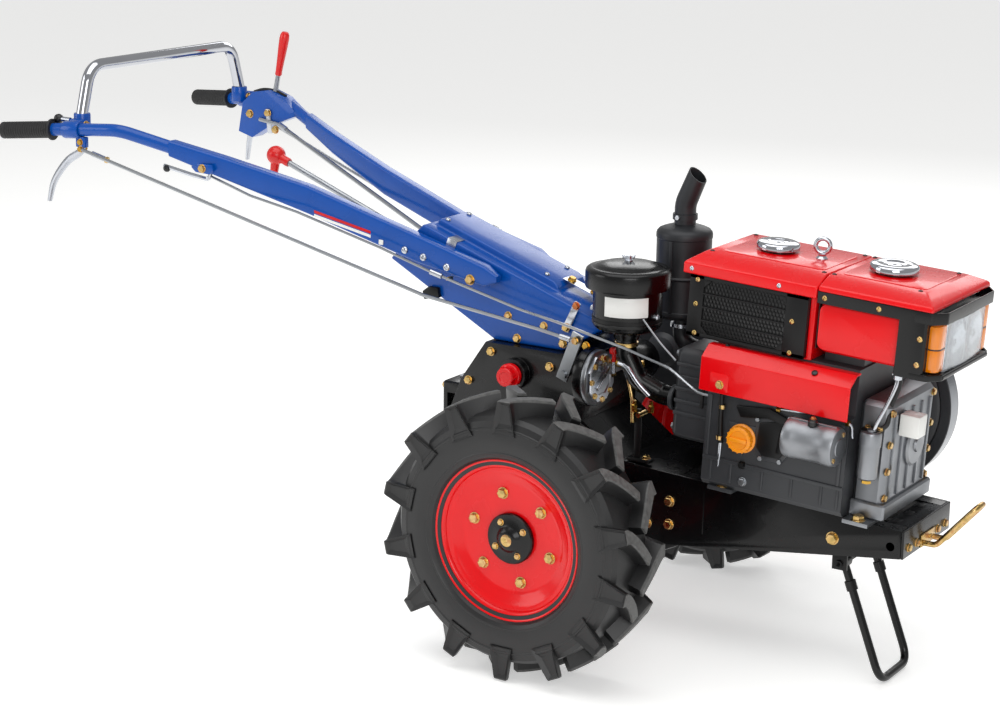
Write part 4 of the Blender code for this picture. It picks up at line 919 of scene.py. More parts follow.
def build_stand():
    stand = Shape()
    path = [
        (0.555, -0.071, 0.2485), (0.6468, -0.071, 0.0087), (0.6468, 0.071, 0.0087),
        (0.555, 0.071, 0.2485),
    ]
    stand.tube(filleted(path, 0.035, 12), 0.0085, "black", 18)
    down = (Vector(path[1]) - Vector(path[0])).normalized()
    for sign in (-1, 1):
        sleeve = (
            (0.0084, 0), (0.0128, 0), (0.0138, 0.001), (0.0138, 0.023), (0.0128, 0.024), (0.0084, 0.024),
        )
        stand.ring(sleeve, (0.555, sign * 0.059, 0.2485), (0, sign, 0), "black", 28)
        grip = Vector(path[0 if sign < 0 else 3]) + down * 0.052
        collar = ((0.0086, -0.011), (0.0118, -0.01), (0.0118, 0.01), (0.0086, 0.011))
        stand.ring(collar, grip, down, "black", 20)
        if sign < 0:
            stand.tube(
                [grip - Vector((0.0, 0.011, 0.0)), grip + Vector((0.0, 0.011, 0.0))], 0.0026, "zinc", 10,
            )
    stand.make("bent_parking_stand", ["stand"], "stand")
    rounded_copy("stand_bracket", "powder", 0.0008)
    ends = Shape()
    for sign in (-1, 1):
        ends.lathe(
            ((0.006, 0), (0.006, 0.0015), (0.005, 0.0025), (0, 0.0025)), (0.555, sign * 0.0975, 0.2485),
            (0, sign, 0), "zinc", 16,
        )
    ends.make("stand_pin_ends")


# ---------------------------------------------------------------- engine


def build_crankcase():
    rounded_copy("crankcase", "cast", 0.0055)
    rounded_copy("cylinder_head", "cast", 0.004)
    ribs = Shape(ENGINE)
    # The sump's parting flange, and the ribs that stiffen the wall below the lubricating cover.
    ribs.box((-0.1795, -0.1585, -0.172), (0.13, -0.15, -0.164), "cast", 0.0018)
    ribs.box((-0.1795, 0.145, -0.172), (0.13, 0.154, -0.164), "cast", 0.0018)
    for x in (-0.16, -0.115, -0.045, 0.02, 0.085, 0.12):
        ribs.box((x - 0.003, -0.1575, -0.212), (x + 0.003, -0.15, -0.169), "cast", 0.0014)
        ribs.box((x - 0.003, 0.145, -0.212), (x + 0.003, 0.153, -0.169), "cast", 0.0014)
    for x in (-0.172, 0.118):
        ribs.box((x - 0.004, -0.158, -0.164), (x + 0.004, -0.15, -0.036), "cast", 0.0018)
    pocket = [
        (-0.066, -0.062), (0.01, -0.044), (0.014, -0.12), (-0.006, -0.146), (-0.052, -0.148),
        (-0.07, -0.128),
    ]
    ribs.prism(pocket, "Y", -0.159, -0.152, "cast", 0.0025)
    inner = [(x * 0.8 - 0.0055, z * 0.8 - 0.02) for x, z in pocket]
    ribs.prism(inner, "Y", -0.1618, -0.156, "powder", 0.002)
    for x, z in pocket[:5]:
        ribs.bolt((x * 0.92 - 0.003, -0.1588, z * 0.92 - 0.008), (0, -1, 0), 0.0055, "steel", washer=False)
    neck = [(-0.128, -0.082), (-0.066, -0.082), (-0.07, -0.118), (-0.094, -0.15), (-0.116, -0.14)]
    ribs.prism(neck, "Y", -0.1578, -0.152, "cast", 0.0025)
    ribs.lathe(
        ((0.0085, 0), (0.0085, 0.006), (0.007, 0.008), (0, 0.008)), (-0.09, -0.155, -0.168), (0, -1, 0),
        "powder", 6,
    )
    ribs.bolt((-0.087, -0.1545, -0.203), (0, -1, 0), 0.0085, "steel")
    ribs.box((-0.15, 0.145, -0.15), (-0.04, 0.153, -0.05), "cast", 0.004)
    for x in (-0.142, -0.048):
        for z in (-0.142, -0.058):
            ribs.bolt((x, 0.1528, z), (0, 1, 0), 0.0065, "steel")
    ribs.make("crankcase_ribs")
    head = Shape(ENGINE)
    for y in (-0.085, -0.03, 0.03, 0.085):
        for z in (-0.145, 0.012):
            head.bolt((-0.2848, y, z), (-1, 0, 0), 0.008, "steel")
    for k in range(5):
        z = -0.112 + 0.026 * k
        head.box((-0.28, -0.1085, z), (-0.19, -0.104, z + 0.008), "cast", 0.0016)
        head.box((-0.28, 0.104, z), (-0.19, 0.1085, z + 0.008), "cast", 0.0016)
    head.bolt((-0.3078, 0.0, -0.06), (-1, 0, 0), 0.0091)
    head.make("cylinder_head_fins")
    rounded_copy("front_casing", "aluminium", 0.004)
    front = Shape(ENGINE)
    for y in (-0.085, -0.045, 0.0, 0.045, 0.085):
        front.box((0.192, y - 0.003, -0.19), (0.201, y + 0.003, -0.015), "aluminium", 0.0016)
    for y in (-0.102, 0.102):
        for z in (-0.185, -0.13, -0.075, -0.01):
            front.bolt((0.1955, y, z), (1, 0, 0), 0.0075)
    front.lathe(
        ((0.045, 0), (0.045, 0.005), (0.04, 0.009), (0.016, 0.01), (0.014, 0.014), (0, 0.014)),
        (0.1955, 0.02, -0.1), (1, 0, 0), "aluminium", 44,
    )
    front.box((0.2, -0.075, -0.06), (0.242, -0.035, -0.015), "label", 0.003)
    for sign in (-1, 1):
        for x in (0.145, 0.172):
            front.bolt((x, sign * 0.1, -0.1946), (0, 0, 1), 0.0095, "zinc")
        stud = ((0.0035, 0), (0.0035, 0.016), (0.0025, 0.018), (0, 0.018))
        front.lathe(stud, (0.158, sign * 0.085, -0.1946), (0, 0, 1), "zinc", 14)
        for x in (-0.137, 0.161):
            front.bolt((x, sign * 0.136, -0.229), (0, 0, 1), 0.013, "zinc")
    front.make("front_casing_ribs_and_bolts")


def build_starter_and_filters():
    starter = Shape(ENGINE)
    profile = [(0, -0.056), (0.034, -0.056), (0.0385, -0.0535), (0.04, -0.05), (0.04, -0.032)]
    profile += [(0.0388, -0.03), (0.0388, 0.026), (0.04, 0.028), (0.04, 0.048), (0.0375, 0.0535)]
    profile += [(0.018, 0.0545), (0.017, 0.056), (0, 0.056)]
    centre = Vector((0.075, -0.1953, -0.072))
    starter.lathe(profile, centre, (1, 0, 0), "aluminium", 48)
    for k in range(2):
        angle = math.radians(50 + 180 * k)
        place = centre + Vector((0.0528, 0.029 * math.cos(angle), 0.029 * math.sin(angle)))
        starter.bolt(place, (1, 0, 0), 0.0055, washer=False)
        rod = centre + Vector((-0.05, 0.04 * math.cos(angle + 0.8), 0.04 * math.sin(angle + 0.8)))
        starter.tube([rod, rod + Vector((0.098, 0, 0))], 0.0018, "steel", 8)
    post = centre + Vector((0.0, -0.01, 0.036))
    starter.lathe(
        ((0.01, 0), (0.01, 0.008), (0.0075, 0.01), (0.0075, 0.013), (0, 0.013)), post, (0, 0, 1),
        "plastic", 24,
    )
    starter.bolt(post + Vector((0, 0, 0.013)), (0, 0, 1), 0.0055, "copper")
    arm = [
        (-0.112, -0.046), (-0.04, -0.036), (0.006, -0.05), (0.004, -0.066), (-0.04, -0.058),
        (-0.1, -0.068),
    ]
    starter.prism(arm, "Y", -0.164, -0.158, "powder", 0.0018)
    lower = [(-0.01, -0.06), (0.01, -0.06), (-0.004, -0.128), (-0.018, -0.124)]
    starter.prism(lower, "Y", -0.164, -0.158, "powder", 0.0018)
    starter.make("starter_motor_body", ["starter_motor"])

    cap = Shape(ENGINE)
    centre = Vector((-0.094, -0.1553, -0.112))
    profile = (
        (0, 0), (0.0295, 0), (0.03, 0.001), (0.03, 0.005), (0.0272, 0.007), (0.0262, 0.008),
        (0.0262, 0.02),
    )
    profile += ((0.0245, 0.0222), (0.02, 0.0228), (0.0185, 0.0205), (0, 0.0205))
    cap.lathe(profile, centre, (0, -1, 0), "orange", 44)
    for place in around(centre, -0.009, 0.0262, 16):
        cap.tube([place, place - Vector((0, 0.0115, 0))], 0.0016, "orange", 8)
    cap.box(
        centre + Vector((-0.019, -0.0255, -0.0045)), centre + Vector((0.019, -0.0195, 0.0045)), "orange",
        0.002,
    )
    cap.make("oil_filler_cap_grip", ["oil_filler_cap"])

    bowl = Shape(ENGINE)
    centre = Vector((0.172, -0.143, -0.092))
    profile = ((0, -0.055), (0.006, -0.055), (0.007, -0.05), (0.015, -0.047), (0.019, -0.043), (0.02, -0.036))
    profile += ((0.02, 0.02), (0.0212, 0.022), (0.0215, 0.028), (0.0215, 0.046), (0.02, 0.05), (0.009, 0.052))
    profile += ((0.009, 0.055), (0, 0.055))
    bowl.lathe(profile, centre, (0, 0, 1), "aluminium", 36)
    bowl.lathe(
        ((0.01, 0), (0.01, 0.007), (0.008, 0.009), (0, 0.009)), centre - Vector((0, 0, 0.055)),
        (0, 0, 1), "brass", 6,
    )
    arm = [(-0.02, -0.15), (0.015, -0.15), (0.018, -0.1123), (-0.022, -0.1123)]
    bowl.prism([(0.169 + x, y) for x, y in arm], "Z", -0.05, -0.04, "powder", 0.0015)
    for x in (0.156, 0.182):
        bowl.bolt((x, -0.126, -0.0402), (0, 0, 1), 0.006, "zinc")
    bowl.make("fuel_filter_bowl", ["fuel_filter"])


def build_engine_pipes():
    pipes = Shape(ENGINE)
    # Dipstick tube, on the wall beside the oil filler.
    tube = [
        (-0.14, -0.161, -0.13), (-0.144, -0.162, -0.085), (-0.1449, -0.163, -0.033),
        (-0.1452, -0.164, -0.028),
    ]
    pipes.tube(smooth_route(tube, 5), 0.0055, "powder", 12)
    tip = [(-0.14, -0.161, -0.13), (-0.1405, -0.1605, -0.162), (-0.1425, -0.1585, -0.182)]
    pipes.tube(smooth_route(tip, 5), [0.003] * 5 + [0.0018] * 5 + [0.001], "bright", 10)
    for z in (-0.055, -0.12):
        pipes.ring(
            ((0.0055, -0.004), (0.007, -0.004), (0.007, 0.004), (0.0055, 0.004)), (-0.143, -0.1615, z),
            (0, 0, 1), "zinc", 16,
        )
    # Fuel tap under the tank, its chromed pipe to the filter and a rubber hose beside it.
    tap = (0.204, -0.12, 0.09)
    pipes.lathe(
        ((0.0105, 0), (0.0105, 0.012), (0.0085, 0.014), (0.0085, 0.024), (0, 0.024)), tap, (0, 0, -1),
        "bright", 24,
    )
    pipes.tube([(0.193, -0.12, 0.075), (0.215, -0.12, 0.075)], 0.003, "bright", 10)
    chrome = [
        (0.204, -0.12, 0.068), (0.203, -0.124, 0.05), (0.192, -0.134, 0.01), (0.181, -0.141, -0.022),
        (0.176, -0.143, -0.04),
    ]
    pipes.tube(smooth_route(chrome, 8), 0.0038, "chrome", 12)
    hose = [
        (0.197, -0.085, 0.09), (0.196, -0.088, 0.04), (0.188, -0.1, 0.0), (0.19, -0.112, -0.03),
        (0.18, -0.125, -0.0415),
    ]
    pipes.tube(smooth_route(hose, 8), 0.005, "rubber", 12)
    back = [(-0.15, -0.142, 0.068), (-0.185, -0.15, 0.02), (-0.205, -0.128, -0.04), (-0.215, -0.1085, -0.085)]
    pipes.tube(smooth_route(back, 8), 0.0042, "rubber", 12)
    steel = [(0.139, -0.153, -0.06), (0.128, -0.1585, -0.03), (0.055, -0.16, -0.028), (-0.02, -0.159, -0.034)]
    pipes.tube(smooth_route(steel, 8), 0.0026, "bright", 10)
    for x, y, z in ((0.128, -0.1585, -0.031), (-0.02, -0.159, -0.034)):
        pipes.lathe(((0.006, -0.004), (0.006, 0.004), (0, 0.004)), (x, y, z), (1, 0, 0), "brass", 6)
    pipes.make("fuel_pipes_and_dipstick")


def build_side_guard():
    rounded_copy("side_guard", "red", 0.0016)
    trim = Shape(ENGINE)
    pocket = rounded_outline(0.021, 0.019, 0.005)
    trim.prism([(-0.146 + u, -0.001 + v) for u, v in pocket], "Y", -0.1818, -0.1795, "red", 0.0009)
    hollow = rounded_outline(0.017, 0.015, 0.004)
    trim.prism([(-0.146 + u, -0.001 + v) for u, v in hollow], "Y", -0.1822, -0.1812, "red", 0.0003)
    trim.bolt((-0.143, -0.182, -0.005), (0, -1, 0), 0.008)
    slope = Vector((0, -0.62, 0.785))
    trim.lathe(
        ((0.0062, 0), (0.0062, 0.002), (0.0045, 0.003), (0, 0.003)), (0.0511, -0.166, 0.0565), slope,
        "plastic", 20,
    )
    trim.make("side_guard_trim")


# ---------------------------------------------------------------- hood, tank and lamps


def slanted_panel(shape, x_low, x_high, key):
    """The raised rectangles pressed into the slanted top of hood and tank."""
    middle = (x_low + x_high) / 2
    outline = rounded_outline((x_high - x_low) / 2, 0.085, 0.014)
    shape.prism([(middle + u, v) for u, v in outline], "Z", 0.24, 0.2424, key, 0.001)


def build_hood():
    rounded_copy("radiator_hood", "red", 0.003)
    rounded_copy("radiator_housing", "red", 0.002)
    hood = Shape(ENGINE)
    slanted_panel(hood, -0.212, 0.014, "red")
    lip = [(-0.0437, 0.2175), (0.0105, 0.2184), (0.006, 0.2035), (-0.0265, 0.2035), (-0.04, 0.21)]
    for sign in (-1, 1):
        hood.prism(lip, "Y", *sorted((sign * 0.144, sign * 0.149)), "red", 0.001)
        for x in (-0.2429, -0.05):
            hood.dome((x, sign * 0.1497, 0.2105), (0, sign, 0), 0.0052, 0.0028)
        for x in (-0.226, 0.02):
            hood.dome((x, sign * 0.098, 0.2405), (0, 0, 1), 0.0052, 0.003, "plastic")
    # A thin black sheet in the seam between hood and tank: painted shade that darkens the gap.
    hood.box((0.0306, -0.13, 0.095), (0.0318, 0.13, 0.21), "plastic", 0.0002)
    hood.make("hood_pressings_and_screws")


def build_grille(side, sign):
    """A black frame with stepped corners, four rows of punched mesh between slats, and its bolts."""
    grille = Shape(ENGINE)
    face = 0.1405
    low, high = -0.247, 0.014
    bottom, top = 0.0715, 0.1985
    inner = (-0.215, -0.034, 0.08, 0.1905)

    def at_side(a, b):
        return sorted((sign * a, sign * b))

    # A thin black sheet behind the mesh: painted shade, so the holes show dark.
    grille.box(
        *box_between((low, sign * face, bottom), (high, sign * (face + 0.0008), top)), "plastic", 0.0003,
    )
    for x0, x1, z0, z1 in (
        (low, high, inner[3], top), (low, high, bottom, inner[2]), (low, inner[0], bottom, top),
        (inner[1], high, bottom, top),
    ):
        grille.box(*box_between((x0, sign * face, z0), (x1, sign * (face + 0.0042), z1)), "powder", 0.001)
    step = 0.016
    for x, z, dx, dz in (
        (inner[0], inner[3], 1, -1), (inner[1], inner[3], -1, -1), (inner[0], inner[2], 1, 1),
        (inner[1], inner[2], -1, 1),
    ):
        corner = [(x, z), (x + dx * step, z), (x + dx * step * 0.5, z + dz * step * 0.5), (x, z + dz * step)]
        grille.prism(corner, "Y", *at_side(face, face + 0.0042), "powder", 0.0006)
    rows = 4
    height = (inner[3] - inner[2]) / rows
    pitch = sizes().mesh_pitch
    for row in range(rows):
        z0 = inner[2] + row * height
        if row:
            slat = [(sign * face, z0 - 0.003), (sign * (face + 0.005), z0 - 0.0018)]
            slat += [(sign * (face + 0.005), z0 + 0.0006), (sign * face, z0 + 0.003)]
            grille.prism(slat, "X", inner[0], inner[1], "powder", 0.0005)
        add_punched_mesh(
            grille, (inner[0], inner[1], z0 + 0.002, z0 + height - 0.002), sign * (face + 0.0014), pitch,
        )
    for x, z in ((-0.2299, 0.1889), (-0.2304, 0.1389), (-0.2282, 0.079), (-0.0176, 0.143), (-0.0167, 0.079)):
        grille.dome((x, sign * (face + 0.004), z), (0, sign, 0), 0.0056, 0.003, "zinc")
    grille.make(f"grille_{side}")


def add_punched_mesh(shape, window, y, pitch):
    """A web of thin wires round hexagonal holes."""
    x0, x1, z0, z1 = window
    made = bmesh.new()
    rise = pitch * math.sqrt(3) / 2
    bar = pitch * 0.16
    depth = 0.0011
    rows = max(1, int((z1 - z0) / rise))
    columns = int((x1 - x0) / pitch)
    for row in range(rows):
        for column in range(columns):
            cx = x0 + (column + 0.5 + 0.5 * (row % 2)) * pitch
            cz = z0 + (row + 0.5) * (z1 - z0) / rows
            if cx > x1 - pitch * 0.4:
                continue
            rings = []
            for radius, lift in (
                (pitch * 0.62, 0.0), (pitch * 0.62 - bar, 0.0), (pitch * 0.62 - bar, 1.0),
                (pitch * 0.62, 1.0),
            ):
                ring = []
                for k in range(6):
                    angle = math.tau * (k + 0.5) / 6
                    px = min(max(cx + radius * math.cos(angle), x0), x1)
                    pz = min(max(cz + radius * math.sin(angle), z0 - 0.0015), z1 + 0.0015)
                    ring.append(made.verts.new((px, y + math.copysign(depth, y) * lift, pz)))
                rings.append(ring)
            skin(made, rings, closed=True)
    shape.take(made, "powder", None, smooth=False)


def build_tank():
    rounded_copy("fuel_tank", "red", 0.0035)
    rounded_copy("radiator_core", "plastic", 0.001)
    tank = Shape(ENGINE)
    slanted_panel(tank, 0.05, 0.228, "red")
    for sign in (-1, 1):
        panel = rounded_outline(0.086, 0.045, 0.014)
        tank.prism(
            [(0.122 + u, 0.1425 + v) for u, v in panel], "Y", *sorted((sign * 0.1345, sign * 0.1368)),
            "red", 0.001,
        )
        for x in (0.042, 0.222):
            tank.dome((x, sign * 0.098, 0.2405), (0, 0, 1), 0.0052, 0.003, "plastic")
        tank.dome((0.262, sign * 0.118, 0.218), (0.5, 0, 1), 0.005, 0.0028, "plastic")
    tank.make("tank_pressings")


def build_front_guard():
    rounded_copy("front_guard", "black", 0.0028)
    trim = Shape(ENGINE)
    # The guard's top band and chin, which wrap round the lamps from side to side.
    for height, half in ((0.2032, 0.0117), (0.0862, 0.0062)):
        rim = [
            (0.236, -0.1465), (0.27, -0.1465), (0.2905, -0.118), (0.2905, 0.118), (0.27, 0.1465),
            (0.236, 0.1465),
        ]
        route = filleted([(x, y, height) for x, y in rim], 0.01, 6)
        trim.tube(route, 1.0, "black", section=rounded_outline(0.0016, half, 0.0012, 3))
    for sign in (-1, 1):
        for x in (0.048, 0.1615):
            trim.dome((x, sign * 0.1476, 0.2032), (0, sign, 0), 0.0058, 0.003, "zinc")
        for x, z in ((0.2503, 0.1607), (0.2493, 0.1096)):
            trim.dome((x, sign * 0.1478, z), (0, sign, 0), 0.0062, 0.0032, "zinc")
    trim.make("guard_rim_and_bolts")


def build_lamps():
    lamp = Shape(ENGINE)
    low, high = Vector((0.2623, -0.097, 0.0913)), Vector((0.286, 0.097, 0.19))
    middle = (low + high) / 2
    # The shell behind the lens, metallised inside, with a bowl and its bulb.
    shell = rounded_outline(0.0965, 0.049, 0.008)
    lamp.prism([(y, middle.z + z) for y, z in shell], "X", 0.2623, 0.2665, "mirror", 0.0006)
    bowl = [(0.044, 0.0105), (0.04, 0.007), (0.03, 0.0035), (0.014, 0.001), (0.009, 0.0006), (0, 0.0006)]
    for y in (-0.048, 0.048):
        lamp.lathe([(0.0455, 0.0), (0.0455, 0.0108), *bowl], (0.266, y, middle.z), (1, 0, 0), "mirror", 40)
        bulb = ((0.006, 0.0), (0.0075, 0.004), (0.0075, 0.008), (0.004, 0.0115), (0, 0.012))
        lamp.lathe(bulb, (0.2668, y, middle.z), (1, 0, 0), "lens", 20)
    lamp.box((0.266, -0.003, 0.095), (0.279, 0.003, 0.187), "mirror", 0.001)
    # The lens has flutes down its inner face, which spread the beam.
    flutes = 30
    outline = [(0.2835, -0.0968), (0.2858, -0.094)]
    outline += [(0.2888, -0.04), (0.2896, 0.0), (0.2888, 0.04), (0.2858, 0.094), (0.2835, 0.0968)]
    for k in range(flutes * 2 + 1):
        t = 1 - k / (flutes * 2)
        y = -0.0955 + 0.191 * t
        outline.append((0.2806 + (0.0016 if k % 2 else 0.0), y))
    rings = []
    for z in (0.0925, 0.0945, middle.z, 0.1868, 0.1888):
        edge = 0.9985 if z in (0.0925, 0.1888) else 1.0
        rings.append([(x, y * edge, z) for x, y in outline])
    lamp.loft(rings, "lens")
    for x0, x1, y0, y1, z0, z1 in (
        (0.264, 0.2852, -0.097, 0.097, 0.1882, 0.19), (0.264, 0.2852, -0.097, 0.097, 0.0913, 0.0931),
    ):
        lamp.box((x0, y0, z0), (x1, y1, z1), "mirror", 0.0006)
    lamp.make("twin_headlamp", ["headlight"])
    for side, sign in SIDES:
        light = Shape(ENGINE)
        outline = [
            (0.2625, 0.0975), (0.2838, 0.0975), (0.2838, 0.1195), (0.281, 0.127), (0.274, 0.1325),
            (0.2625, 0.1328),
        ]
        outline = [(x, sign * y) for x, y in outline]
        light.prism(outline, "Z", 0.0955, 0.139, "amber", 0.0016)
        light.prism(outline, "Z", 0.1412, 0.1857, "amber", 0.0016)
        light.prism(
            [(x * 0.999 + 0.0002, y * 0.992) for x, y in outline], "Z", 0.1385, 0.1417, "plastic",
            0.0002,
        )
        light.box(
            *box_between((0.26, sign * 0.0973, 0.095), (0.263, sign * 0.1325, 0.1862)), "plastic",
            0.0005,
        )
        light.make(f"turn_light_{side}", [f"indicator_{side}"])


def build_cap(name, node, x, radius):
    cap = Shape(ENGINE)
    foot = (x, 0, 0.2413)
    neck = ((0, 0), (radius * 0.8, 0), (radius * 0.8, 0.004), (radius * 0.72, 0.006), (0, 0.006))
    cap.lathe(neck, foot, (0, 0, 1), "powder", 44)
    skirt = (
        (0, 0.0055), (radius * 0.97, 0.0055), (radius, 0.0066), (radius, 0.015), (radius * 0.97, 0.0178),
        (radius * 0.9, 0.0198), (radius * 0.8, 0.0209), (radius * 0.5, 0.0209), (radius * 0.44, 0.019),
        (radius * 0.3, 0.0178), (radius * 0.16, 0.019), (radius * 0.1, 0.02), (0, 0.0202),
    )
    cap.lathe(skirt, foot, (0, 0, 1), "chrome", 60)
    cap.make(name, [node])


def build_caps():
    build_cap("radiator_cap_chromed", "radiator_cap", -0.128, 0.044)
    build_cap("fuel_cap_chromed", "fuel_cap", 0.125, 0.049)


def build_lifting_eye():
    eye = Shape(ENGINE)
    x = -0.031
    eye.lathe(
        (
            (0, 0.2413), (0.012, 0.2413), (0.012, 0.244), (0.0095, 0.246), (0.008, 0.249),
            (0.0088, 0.253), (0, 0.255),
        ),
        (x, 0, 0), (0, 0, 1), "bright", 32,
    )
    turn = math.radians(20)
    path = []
    for k in range(40):
        angle = math.tau * k / 40
        flat = 0.0145 * math.cos(angle)
        path.append((x + flat * math.cos(turn), flat * math.sin(turn), 0.269 + 0.0145 * math.sin(angle)))
    eye.tube(path, 0.0048, "bright", 14, closed=True)
    eye.make("forged_lifting_eye", ["lifting_eye"])


# ---------------------------------------------------------------- air filter and muffler


def build_air_filter():
    can = Shape()
    x, y = 0.057, -0.1
    profile = (
        (0, 0.644), (0.024, 0.644), (0.026, 0.646), (0.028, 0.654), (0.034, 0.661), (0.048, 0.664),
        (0.062, 0.667), (0.0695, 0.673), (0.0715, 0.678), (0.0735, 0.68), (0.0735, 0.685),
        (0.072, 0.687), (0.072, 0.753), (0.083, 0.7535), (0.088, 0.755), (0.089, 0.758),
        (0.089, 0.788), (0.0875, 0.7925), (0.0835, 0.796), (0.076, 0.7975), (0.069, 0.7985),
        (0.066, 0.801), (0.056, 0.804), (0.04, 0.807), (0.02, 0.8085), (0, 0.8088),
    )
    can.lathe(profile, (x, y, 0), (0, 0, 1), "black", 80)
    # Wing nut and stud on the lid.
    can.lathe(
        ((0.0085, 0.8085), (0.0085, 0.811), (0.006, 0.8125), (0.0055, 0.82), (0, 0.8205)), (x, y, 0),
        (0, 0, 1), "bright", 24,
    )
    for sign in (-1, 1):
        wing = [(0.004, 0.8115), (0.012, 0.814), (0.0145, 0.8215), (0.0105, 0.8218), (0.004, 0.816)]
        turn = Matrix.Translation((x, y, 0)) @ Matrix.Rotation(math.radians(35), 4, "Z")
        can.prism([(sign * u, v) for u, v in wing], "Y", -0.0012, 0.0012, "bright", 0.0004, turn)
    # The clamp band and the side fittings.
    band = ((0.0715, -0.004), (0.0733, -0.004), (0.0736, 0), (0.0733, 0.004), (0.0715, 0.004))
    can.ring(band, (x, y, 0.6905), (0, 0, 1), "powder", 72)
    can.lathe(
        ((0.006, 0), (0.006, 0.008), (0.0045, 0.01), (0, 0.01)), (x - 0.07, y - 0.012, 0.702),
        (-1, 0, 0), "bright", 18,
    )
    can.lathe(
        ((0.006, 0), (0.006, 0.008), (0.0045, 0.01), (0, 0.01)), (x + 0.07, y - 0.012, 0.702), (1, 0, 0),
        "bright", 18,
    )
    can.make("air_filter_can", ["air_filter"])
    label = Shape()
    rings = []
    radius = 0.0721
    for k in range(25):
        angle = math.radians(-101 + 76 * k / 24)
        spoke = Vector((math.cos(angle), math.sin(angle), 0))
        ring = []
        for r, z in ((radius, 0.7035), (radius + 0.0003, 0.704), (radius + 0.0003, 0.744), (radius, 0.7445)):
            ring.append(Vector((x, y, z)) + spoke * r)
        rings.append(ring)
    label.loft(rings, "label")
    label.make("blank_filter_label")
    pipe = Shape()
    elbow = [Vector((x, y, 0.6439)), Vector((x, y, 0.615)), Vector((0.085, -0.098, 0.56))]
    elbow += [engine_point(-0.3203, -0.083, -0.085), engine_point(-0.2856, -0.083, -0.085)]
    route = filleted(elbow, 0.034, 12)
    pipe.tube(route, 0.0215, "black", 32)
    along = (Vector(route[-1]) - Vector(route[-2])).normalized()
    pipe.ring(
        ((0.021, -0.004), (0.0248, -0.004), (0.0252, 0), (0.0248, 0.004), (0.021, 0.004)), (x, y, 0.634),
        (0, 0, 1), "zinc", 40,
    )
    pipe.ring(
        ((0.021, -0.004), (0.027, -0.004), (0.028, 0), (0.027, 0.004), (0.021, 0.004)),
        Vector(route[-1]) - along * 0.0045, along, "cast", 40,
    )
    pipe.make("intake_elbow", ["intake_pipe"])


def build_muffler():
    muffler = Shape()
    x, y = 0.09, 0.08
    profile = (
        (0, 0.662), (0.046, 0.662), (0.055, 0.664), (0.059, 0.669), (0.06, 0.672), (0.06, 0.679),
        (0.0588, 0.68), (0.0588, 0.748), (0.06, 0.7495), (0.0612, 0.752), (0.06, 0.7545),
        (0.0588, 0.756), (0.0588, 0.833), (0.06, 0.8345), (0.06, 0.842), (0.0585, 0.847),
        (0.054, 0.852), (0.046, 0.8555), (0.035, 0.859), (0.027, 0.861), (0.024, 0.8625), (0, 0.8625),
    )
    muffler.lathe(profile, (x, y, 0), (0, 0, 1), "muffler", 72)
    muffler.box((x - 0.004, y - 0.0612, 0.68), (x + 0.004, y - 0.0575, 0.833), "muffler", 0.0012)
    # The outlet leans forward, and its mouth is cut on a slant.
    outlet = [Vector((x, y, 0.855)), Vector((x, y, 0.905)), Vector((x + 0.027, y, 0.968))]
    route = filleted(outlet, 0.06, 10)
    count = len(route)
    rings = []
    for inside in (False, True):
        order = range(count) if not inside else range(count - 1, count - 4, -1)
        for i in order:
            along = (route[min(i + 1, count - 1)] - route[max(i - 1, 0)]).normalized()
            if i == count - 1:
                along = (along + Vector((0.55, 0, 0.1))).normalized()
            side = Vector((0, 1, 0))
            lift = along.cross(side).normalized()
            size = 0.0205 if inside else 0.0228
            turns = (math.tau * k / 40 for k in range(40))
            rings.append([route[i] + (side * math.cos(a) + lift * math.sin(a)) * size for a in turns])
    muffler.loft(rings, "muffler")
    muffler.ring(
        ((0.0225, 0.872), (0.0265, 0.872), (0.0265, 0.884), (0.0225, 0.884)), (x, y, 0), (0, 0, 1),
        "muffler", 40,
    )
    muffler.bolt((x - 0.004, y - 0.0262, 0.878), (0, -1, 0), 0.006, "bright", washer=False)
    pipe = [Vector((x, y, 0.664)), Vector((x, y, 0.604)), engine_point(-0.2856, 0.08, -0.03)]
    muffler.tube(filleted(pipe, 0.045, 12), 0.0186, "muffler", 28)
    muffler.ring(
        ((0.018, 0.64), (0.024, 0.64), (0.024, 0.648), (0.018, 0.648)), (x, y, 0), (0, 0, 1), "bright",
        36,
    )
    muffler.make("welded_muffler", ["muffler"])


# ---------------------------------------------------------------- belt drive


